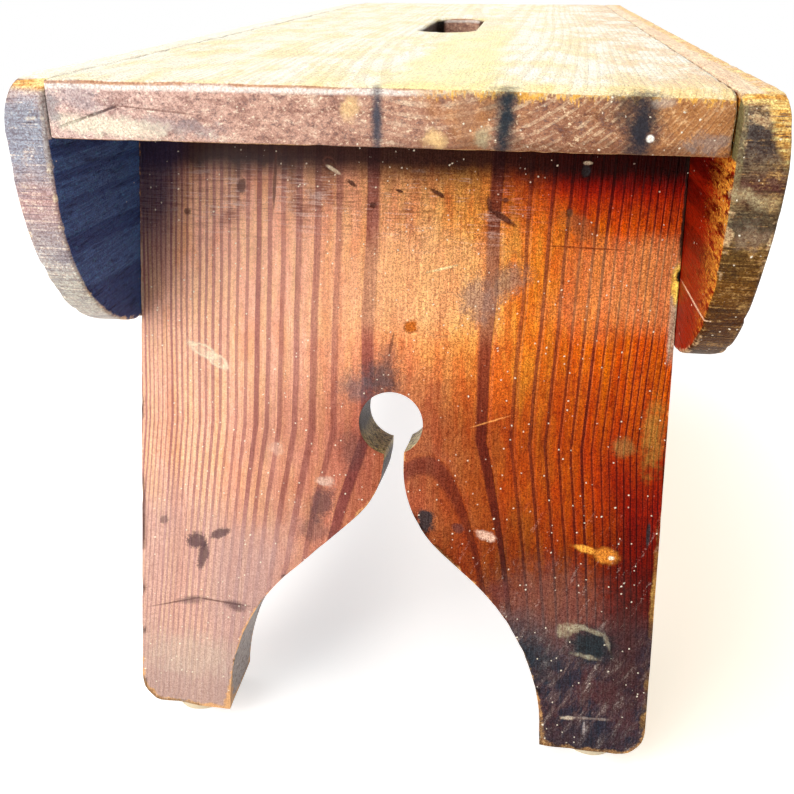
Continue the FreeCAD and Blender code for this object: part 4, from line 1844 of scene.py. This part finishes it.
def on_leg(across: float, down: float, wide: float, tall: float, tone: Tone, tilt: float = 0.0,
           **more: float) -> Mark:
    """A mark on a leg's outer face, in millimetres across and down the board, tilted in degrees."""
    return Mark((across / 1000, 0.0, -down / 1000), (wide / 1000, 0.006, tall / 1000), tone,
                (0.0, math.radians(tilt), 0.0), **more)


SOOT = (0.030, 0.028, 0.032)
BLOT = (0.11, 0.055, 0.060)
CREAM = (0.90, 0.76, 0.55)
RAW = (0.90, 0.36, 0.05)
DENT = (0.10, 0.030, 0.020)

FRONT_LEG_MARKS = (
    on_leg(66, 192, 22, 17, (0.22, 0.125, 0.11), ragged=0.8, soft=0.6, strength=0.40),
    on_leg(60, 214, 11, 9, (0.020, 0.034, 0.046), 30, ragged=1.2, soft=0.8, strength=0.70),
    on_leg(80, 247, 24, 8, (0.024, 0.026, 0.038), ragged=1.2, soft=0.8, strength=0.55),
    on_leg(100, 118, 3.5, 12, (0.44, 0.27, 0.05), ragged=1.6, soft=0.8, strength=0.50),
    on_leg(96, 205, 10, 26, (0.055, 0.018, 0.016), ragged=0.6, soft=0.6, strength=0.6),
    on_leg(-78.6, 95.4, 6.4, 2.5, CREAM, 24, ragged=0.5, soft=0.2, strength=0.85, sink=0.15, hollow=0.72),
    on_leg(-72.8, 99.2, 5.0, 2.5, CREAM, 30, ragged=0.5, soft=0.2, strength=0.85, sink=0.15, hollow=0.70),
    on_leg(-76.5, 97.2, 8.0, 1.6, CREAM, 33, ragged=0.9, soft=0.5, strength=0.35),
    on_leg(-81.5, 177.0, 4.2, 3.6, BLOT, ragged=1.1, strength=0.9),
    on_leg(-78.8, 183.0, 2.2, 5.5, BLOT, 12, ragged=0.9, strength=0.85),
    on_leg(-71.5, 172.4, 4.6, 1.9, BLOT, -24, ragged=1.0, strength=0.85),
    on_leg(-95.9, 168.6, 1.8, 1.8, BLOT, strength=0.6),
    on_leg(-28.5, 156.0, 4.4, 7.5, BLOT, 20, ragged=1.0, soft=0.5, strength=0.75),
    on_leg(-31.5, 167.5, 6.5, 5.0, BLOT, ragged=1.0, soft=0.5, strength=0.5),
    on_leg(-91.5, 205.3, 10.5, 0.32, DENT, -16, ragged=0.5, soft=0.5, strength=0.65, sink=0.6),
    on_leg(-71.0, 203.0, 12.0, 0.38, DENT, 4, ragged=0.5, soft=0.5, strength=0.7, sink=0.6),
    on_leg(-84.0, 203.5, 5.5, 1.6, BLOT, -10, ragged=0.7, soft=0.6, strength=0.6),
    on_leg(-64.5, 204.4, 4.6, 1.9, BLOT, 8, ragged=0.7, soft=0.6, strength=0.75),
    on_leg(-90.0, 178.0, 2.0, 8.0, (0.60, 0.34, 0.26), ragged=0.7, soft=0.6, strength=0.5),
    on_leg(-84.7, 229.0, 17, 9, (0.66, 0.54, 0.42), ragged=1.3, soft=0.6, strength=0.35),
    on_leg(-5.5, 103.0, 7.0, 6.0, (0.085, 0.062, 0.070), 24, ragged=1.2, soft=0.8, strength=0.88),
    on_leg(-4.0, 96.0, 3.2, 7.0, (0.20, 0.105, 0.085), 10, ragged=1.2, soft=0.9, strength=0.70),
    on_leg(-15.5, 106.5, 5.5, 5.0, (0.17, 0.120, 0.125), ragged=1.5, soft=0.9, strength=0.70),
    on_leg(-16.5, 132.0, 5.0, 8.0, (0.13, 0.055, 0.05), ragged=0.9, soft=0.6, strength=0.6),
    on_leg(-1.8, 88.0, 0.5, 4.5, DENT, 8, ragged=0.3, strength=0.7, sink=0.5),
    on_leg(5.6, 81.0, 2.6, 2.4, (0.58, 0.15, 0.02), -25, ragged=0.7, sink=1.6),
    on_leg(16.7, 57.8, 5.0, 0.55, (0.95, 0.78, 0.42), -16, ragged=1.2, strength=0.8, sink=0.3),
    on_leg(17.8, 75.6, 7.5, 9.5, (0.50, 0.27, 0.14), 20, ragged=0.3, soft=0.06, strength=0.35, hollow=0.92),
    on_leg(42.0, 61.6, 7.5, 5.0, (0.34, 0.21, 0.15), -35, ragged=1.2, soft=0.6, strength=0.75),
    on_leg(31.0, 69.0, 6.5, 8.0, (0.36, 0.22, 0.18), -10, ragged=1.1, soft=0.6, strength=0.70),
    on_leg(39.0, 57.0, 9.0, 6.5, (0.36, 0.16, 0.07), -30, ragged=0.3, soft=0.06, strength=0.4, hollow=0.93),
    on_leg(-28.3, 19.6, 3.0, 2.4, DENT, 40, ragged=0.5, soft=0.2, strength=0.9, hollow=0.7, sink=1.0),
    on_leg(-26.5, 21.8, 3.2, 0.7, CREAM, 30, ragged=0.6, strength=0.7),
    on_leg(-62.8, 29.2, 1.8, 2.8, DENT, ragged=0.6, strength=0.85, sink=1.2),
    on_leg(-85.2, 39.7, 1.5, 1.4, DENT, strength=0.8, sink=0.8),
    on_leg(-19.2, 26.6, 2.2, 0.8, DENT, 35, ragged=0.6, strength=0.9, sink=1.0),
    on_leg(-10.8, 34.6, 1.3, 1.1, DENT, strength=0.9, sink=1.2),
    on_leg(-0.6, 28.9, 1.3, 0.5, DENT, 20, strength=0.9, sink=0.8),
    on_leg(13.9, 29.2, 2.8, 0.8, DENT, 28, ragged=0.6, strength=0.9, sink=1.0),
    on_leg(38.8, 37.4, 5.5, 1.0, DENT, 30, ragged=0.6, strength=0.9, sink=1.0),
    on_leg(33.5, 33.0, 0.8, 3.2, DENT, -12, ragged=0.6, strength=0.8, sink=0.8),
    on_leg(39.5, 31.0, 1.2, 1.0, DENT, strength=0.8, sink=1.0),
    on_leg(68.2, 19.6, 1.6, 2.2, SOOT, ragged=0.6, strength=0.9, sink=1.4),
    on_leg(68.8, 16.4, 1.6, 0.6, CREAM, ragged=0.9, strength=0.6),
    on_leg(63.4, 34.7, 1.1, 1.6, DENT, ragged=0.6, strength=0.9, sink=1.2),
    on_leg(67.5, 40.0, 7.0, 4.0, (0.30, 0.13, 0.05), 30, ragged=1.4, soft=0.5, strength=0.5),
    on_leg(-49.6, 26.4, 0.6, 11.0, DENT, 2, ragged=0.3, strength=0.8, sink=0.8),
    on_leg(70.0, 47.5, 15.0, 0.32, (0.26, 0.04, 0.01), 1, ragged=0.4, strength=0.8, sink=0.3),
    on_leg(14.2, 159.5, 3.6, 4.6, SOOT, -12, ragged=0.9, strength=0.95),
    on_leg(45.6, 186.8, 4.8, 4.6, (0.14, 0.035, 0.03), ragged=0.7, soft=0.5, strength=0.7),
    on_leg(38.6, 163.6, 3.8, 2.0, (0.86, 0.55, 0.42), 14, ragged=1.1, strength=0.9, sink=0.4),
    on_leg(27.5, 161.5, 2.4, 2.0, (0.12, 0.035, 0.03), ragged=0.8, strength=0.8),
    on_leg(78.0, 165.8, 5.0, 1.4, RAW, 14, ragged=0.9, sink=0.8),
    on_leg(86.0, 167.6, 4.8, 3.2, (0.72, 0.24, 0.03), 10, ragged=0.7, sink=1.2),
    on_leg(88.0, 168.4, 1.2, 0.9, (0.98, 0.86, 0.66), ragged=0.6),
    on_leg(82.5, 205.6, 8.5, 7.0, (0.018, 0.026, 0.032), 20, ragged=0.9, soft=0.5, strength=0.92),
    on_leg(73.5, 200.0, 3.8, 2.6, (0.46, 0.39, 0.26), -20, ragged=2.2, soft=0.5, strength=0.75),
    on_leg(81.5, 199.4, 5.0, 0.9, (0.40, 0.35, 0.25), 16, ragged=1.8, soft=0.5, strength=0.70),
    on_leg(88.8, 203.8, 0.8, 3.6, (0.36, 0.32, 0.24), -20, ragged=1.6, soft=0.5, strength=0.65),
    on_leg(81.0, 211.0, 4.0, 0.9, (0.38, 0.33, 0.24), 8, ragged=2.0, soft=0.5, strength=0.70),
    on_leg(75.6, 238.6, 2.4, 0.8, (0.74, 0.62, 0.48), -4, ragged=2.0, soft=0.5, strength=0.80, sink=0.3),
    on_leg(84.6, 237.8, 7.0, 0.5, (0.42, 0.33, 0.29), -3, ragged=2.2, soft=0.6, strength=0.55, sink=0.3),
    on_leg(82.3, 242.5, 0.5, 2.6, (0.50, 0.42, 0.42), ragged=0.8, soft=0.5, strength=0.7),
    on_leg(89.3, 123.3, 4.0, 3.6, (0.36, 0.21, 0.06), ragged=0.9, soft=0.5, strength=0.5),
    on_leg(37.7, 116.8, 8.0, 0.32, (0.90, 0.36, 0.10), -21, ragged=0.3, strength=0.75),
    on_leg(101.3, 157.4, 0.8, 4.8, SOOT, ragged=0.5, strength=0.9, sink=1.0),
    on_leg(-27.2, 146.4, 3.6, 2.2, (0.82, 0.58, 0.46), 14, ragged=1.3, strength=0.6),
    on_leg(-47.8, 134.0, 3.2, 3.0, (0.82, 0.52, 0.40), ragged=1.9, strength=0.4),
    on_leg(104.3, 59.5, 2.4, 7.5, (0.96, 0.62, 0.10), ragged=0.6, strength=0.95, sink=0.6),
    on_leg(104.9, 56.5, 1.2, 2.4, (0.012, 0.006, 0.004), ragged=0.4, sink=2.0),
    on_leg(-104.6, 74.0, 1.1, 7.0, (0.70, 0.46, 0.32), ragged=0.5, strength=0.85),
    on_leg(-104.8, 58.0, 0.9, 5.0, (0.70, 0.46, 0.32), ragged=0.5, strength=0.8),
)


def on_end(across: float, deep: float, wide: float, tall: float, tone: Tone, tilt: float = 0.0,
           **more: float) -> Mark:
    """A mark on the top board's front end grain, in millimetres across and below the top."""
    return Mark((across / 1000, deep / 1000, -0.2825), (wide / 1000, tall / 1000, 0.005), tone,
                (0.0, 0.0, math.radians(tilt)), **more)


STAIN = (0.012, 0.024, 0.036)

TOP_MARKS = (
    on_end(-90.3, 11.0, 10.8, 0.42, (0.10, 0.045, 0.040), -19, ragged=0.8, strength=0.95, sink=0.9),
    on_end(-67.3, 8.8, 13.4, 0.26, (0.26, 0.13, 0.10), 5, ragged=0.9, strength=0.75, sink=0.6),
    on_end(1.2, 9.5, 1.5, 10.5, (0.050, 0.062, 0.090), ragged=0.7, soft=0.7, strength=0.92),
    on_end(39.6, 10.0, 2.6, 11.5, STAIN, 4, ragged=0.7, soft=0.7, strength=0.97),
    on_end(38.2, 4.0, 4.2, 4.0, STAIN, ragged=1.4, soft=0.9, strength=0.70),
    on_end(78.8, 10.5, 3.9, 12.0, (0.014, 0.018, 0.030), 3, ragged=0.8, soft=0.7, strength=0.97),
    on_end(76.5, 5.0, 6.5, 4.5, (0.030, 0.028, 0.036), ragged=1.5, soft=0.9, strength=0.75),
    on_end(84.5, 3.5, 3.0, 1.6, (0.55, 0.44, 0.36), ragged=1.2, soft=0.6, strength=0.6),
    on_end(33.0, 14.5, 2.2, 2.4, (0.46, 0.42, 0.26), ragged=1.4, soft=0.6, strength=0.6),
    on_end(28.0, 8.0, 3.0, 7.0, (0.32, 0.19, 0.14), ragged=1.0, soft=0.5, strength=0.4),
    on_end(-7.0, 6.7, 2.2, 3.4, (0.92, 0.62, 0.30), 20, ragged=1.2, soft=0.6, strength=0.7),
    on_end(18.8, 15.5, 3.0, 2.6, (0.92, 0.62, 0.28), ragged=1.2, soft=0.6, strength=0.75),
    on_end(81.4, 13.5, 1.1, 1.1, (1.0, 0.97, 0.90), ragged=0.3),
    on_end(-62.0, 13.5, 14.0, 2.6, (0.30, 0.27, 0.30), 6, ragged=2.0, soft=0.6, strength=0.45),
    on_end(-85.0, 14.0, 17.0, 3.0, (0.97, 0.90, 0.70), 4, ragged=1.3, soft=0.6, strength=0.65),
    on_end(-94.0, 5.0, 8.0, 4.0, (0.42, 0.38, 0.42), 20, ragged=1.6, soft=0.7, strength=0.45),
    on_end(-103.0, 10.0, 2.2, 5.0, (0.30, 0.28, 0.30), ragged=1.6, soft=0.5, strength=0.7),
    on_end(98.0, 14.5, 6.0, 2.6, (0.30, 0.25, 0.23), ragged=1.6, soft=0.5, strength=0.6),
)


def on_apron(across: float, deep: float, wide: float, tall: float, tone: Tone, along: float = -288.6,
             long: float = 5.0, turn: Spot = (0.0, 0.0, 0.0), **more: float) -> Mark:
    """A mark on an apron, in millimetres across, below the top and along the bench."""
    place = (across / 1000, deep / 1000, along / 1000)
    return Mark(place, (wide / 1000, tall / 1000, long / 1000), tone, turn, **more)


LEFT_END_TONES = (
    (0.00, (0.58, 0.44, 0.40)), (0.07, (0.52, 0.41, 0.41)), (0.12, (0.35, 0.36, 0.43)),
    (0.34, (0.34, 0.35, 0.43)), (0.42, (0.46, 0.37, 0.38)), (0.54, (0.52, 0.31, 0.30)),
    (0.66, (0.47, 0.38, 0.38)), (0.80, (0.48, 0.43, 0.43)), (0.95, (0.54, 0.50, 0.44)))

LEFT_APRON_MARKS = (
    on_apron(-107.5, 12.0, 6.5, 0.7, (0.97, 0.86, 0.70), ragged=1.4, soft=0.4, strength=0.9),
    on_apron(-109.0, 13.4, 5.0, 0.35, (0.10, 0.08, 0.10), ragged=1.2, soft=0.4, strength=0.8),
    on_apron(-104.6, 26.8, 2.8, 1.5, (0.96, 0.80, 0.58), ragged=1.4, soft=0.5, strength=0.9),
    on_apron(-115.4, 34.4, 2.6, 1.3, (0.96, 0.80, 0.58), ragged=1.4, soft=0.5, strength=0.9),
)
RIGHT_APRON_MARKS = (
    on_apron(105.0, 72.7, 3.0, 0.45, (0.96, 0.66, 0.46), -255.5, 24.3, (math.radians(-3.3), 0.0, 0.0),
             ragged=0.2, strength=0.9),
    on_apron(113.0, 29.0, 4.5, 2.0, (0.60, 0.46, 0.26), ragged=2.2, soft=0.8, strength=0.55),
    on_apron(107.5, 27.5, 3.2, 1.6, (0.54, 0.42, 0.24), ragged=2.2, soft=0.8, strength=0.50),
    on_apron(112.0, 40.0, 5.0, 3.0, (0.52, 0.34, 0.22), ragged=2.4, soft=0.8, strength=0.45),
    on_apron(109.0, 11.0, 4.0, 5.5, (0.040, 0.036, 0.040), ragged=2.6, soft=1.0, strength=0.35),
    on_apron(110.0, 35.0, 4.5, 5.0, (0.036, 0.040, 0.036), ragged=2.6, soft=1.0, strength=0.40),
)


def nail_stains(side: Side) -> tuple[Mark, ...]:
    """Dark rust in the apron round each nail's head."""
    heads = [head for group in ApronNails(side).places().values() for head in group]
    return tuple(Mark((head.x, FLAT_SHIFT[1] - head.z, head.y), (0.003, 0.0030, 0.0048),
                      (0.045, 0.022, 0.015), ragged=0.8, soft=0.6, strength=0.8) for head in heads)


def bench() -> None:
    """Builds and dresses the five boards."""
    front = LegWood("front_leg_varnish", Rings(), (LEG_TURN, 0, 0), LEG_SHIFT, marks=FRONT_LEG_MARKS)
    Leg("front_leg", "leg_wood", front, way=Way.FRONT, seed=3.0).build()
    other = Rings(heart=(-0.022, 0.165), first=8.1, fan=0.4)
    rear = LegWood("rear_leg_varnish", other, (LEG_TURN, 0, 0), LEG_SHIFT, (1, -1, 1),
                   marks=FRONT_LEG_MARKS[4:8])
    Leg("rear_leg", "leg_wood", rear, way=Way.REAR, seed=11.0).build()
    bowed = Rings(heart=(0.018, -0.034), lean=0.02, fan=0.0, rate=0.0011, power=2.2, first=0.2,
                  sway=(0.003, 0.003), dark_share=0.4, band=0.0)
    top = TopWood("top_varnish", bowed, FLAT_TURN, FLAT_SHIFT, marks=TOP_MARKS, roughness=0.30,
                  contrast=0.42)
    TopBoard("top_board", "top_wood", top, seed=5.0, cell=0.0038).build()
    plain = Rings(heart=(-0.16, 0.10), lean=0.01, fan=0.0, rate=0.0009, power=2.0, first=0.0, dark_share=0.4,
                  band=0.0)
    left = ApronWood("left_apron_stain", plain, FLAT_TURN, FLAT_SHIFT,
                     marks=nail_stains(Side.LEFT) + LEFT_APRON_MARKS,
                     inner=(0.078, 0.150, 0.400), inner_late=(0.048, 0.088, 0.270), edge_share=0.0,
                     inner_edge=(0.10, 0.07, 0.09), end_dark=(0.17, 0.14, 0.18), end_light=(0.92, 0.76, 0.64),
                     end_tones=LEFT_END_TONES, mottle=0.4, upper=(0.98, 0.93, 0.80),
                     upper_late=(0.95, 0.86, 0.66), rim_tone=(0.93, 0.76, 0.54), inner_rim=(0.44, 0.36, 0.32),
                     lip=(0.80, 0.68, 0.66), contrast=0.6, speck_share=0.0)
    Apron("left_apron", "apron_wood", left, side=Side.LEFT, seed=17.0, cell=0.004).build()
    turned = replace(plain, heart=(0.17, 0.09), first=0.3)
    right = ApronWood("right_apron_stain", turned, FLAT_TURN, FLAT_SHIFT,
                      marks=nail_stains(Side.RIGHT) + RIGHT_APRON_MARKS, gold=1.0, contrast=0.75)
    Apron("right_apron", "apron_wood", right, side=Side.RIGHT, seed=23.0, cell=0.004).build()


def fittings() -> None:
    """Adds the glides and nails, and gives the hidden nails and pins their metal."""
    nylon = Nylon().material()
    for i, corner in enumerate(("front_left", "front_right", "rear_left", "rear_right")):
        Glide(corner + "_glide", nylon, 7.0 * i).build()
    iron = Metal("nail_iron", (0.10, 0.09, 0.085), (0.13, 0.045, 0.018), 0.62, 0.45).material()
    steel = Metal("pin_steel", (0.52, 0.51, 0.49), (0.25, 0.12, 0.06), 0.35, 0.30).material()
    for side in Side:
        ApronNails(side).build(iron)
    hidden = {"front_leg_top_nails": iron, "rear_leg_top_nails": iron, "glide_pins": steel}
    for node, metal in hidden.items():
        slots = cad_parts[node].material_slots
        for slot in slots:
            slot.material = metal
        log.info("%s: %d slots", node, len(slots))


def main() -> None:
    """Builds the stage and the bench, logging each piece's face count."""
    logging.basicConfig(level=logging.INFO, format="%(message)s")
    Studio().build()
    bench()
    fittings()


if __name__ == "__main__":
    main()
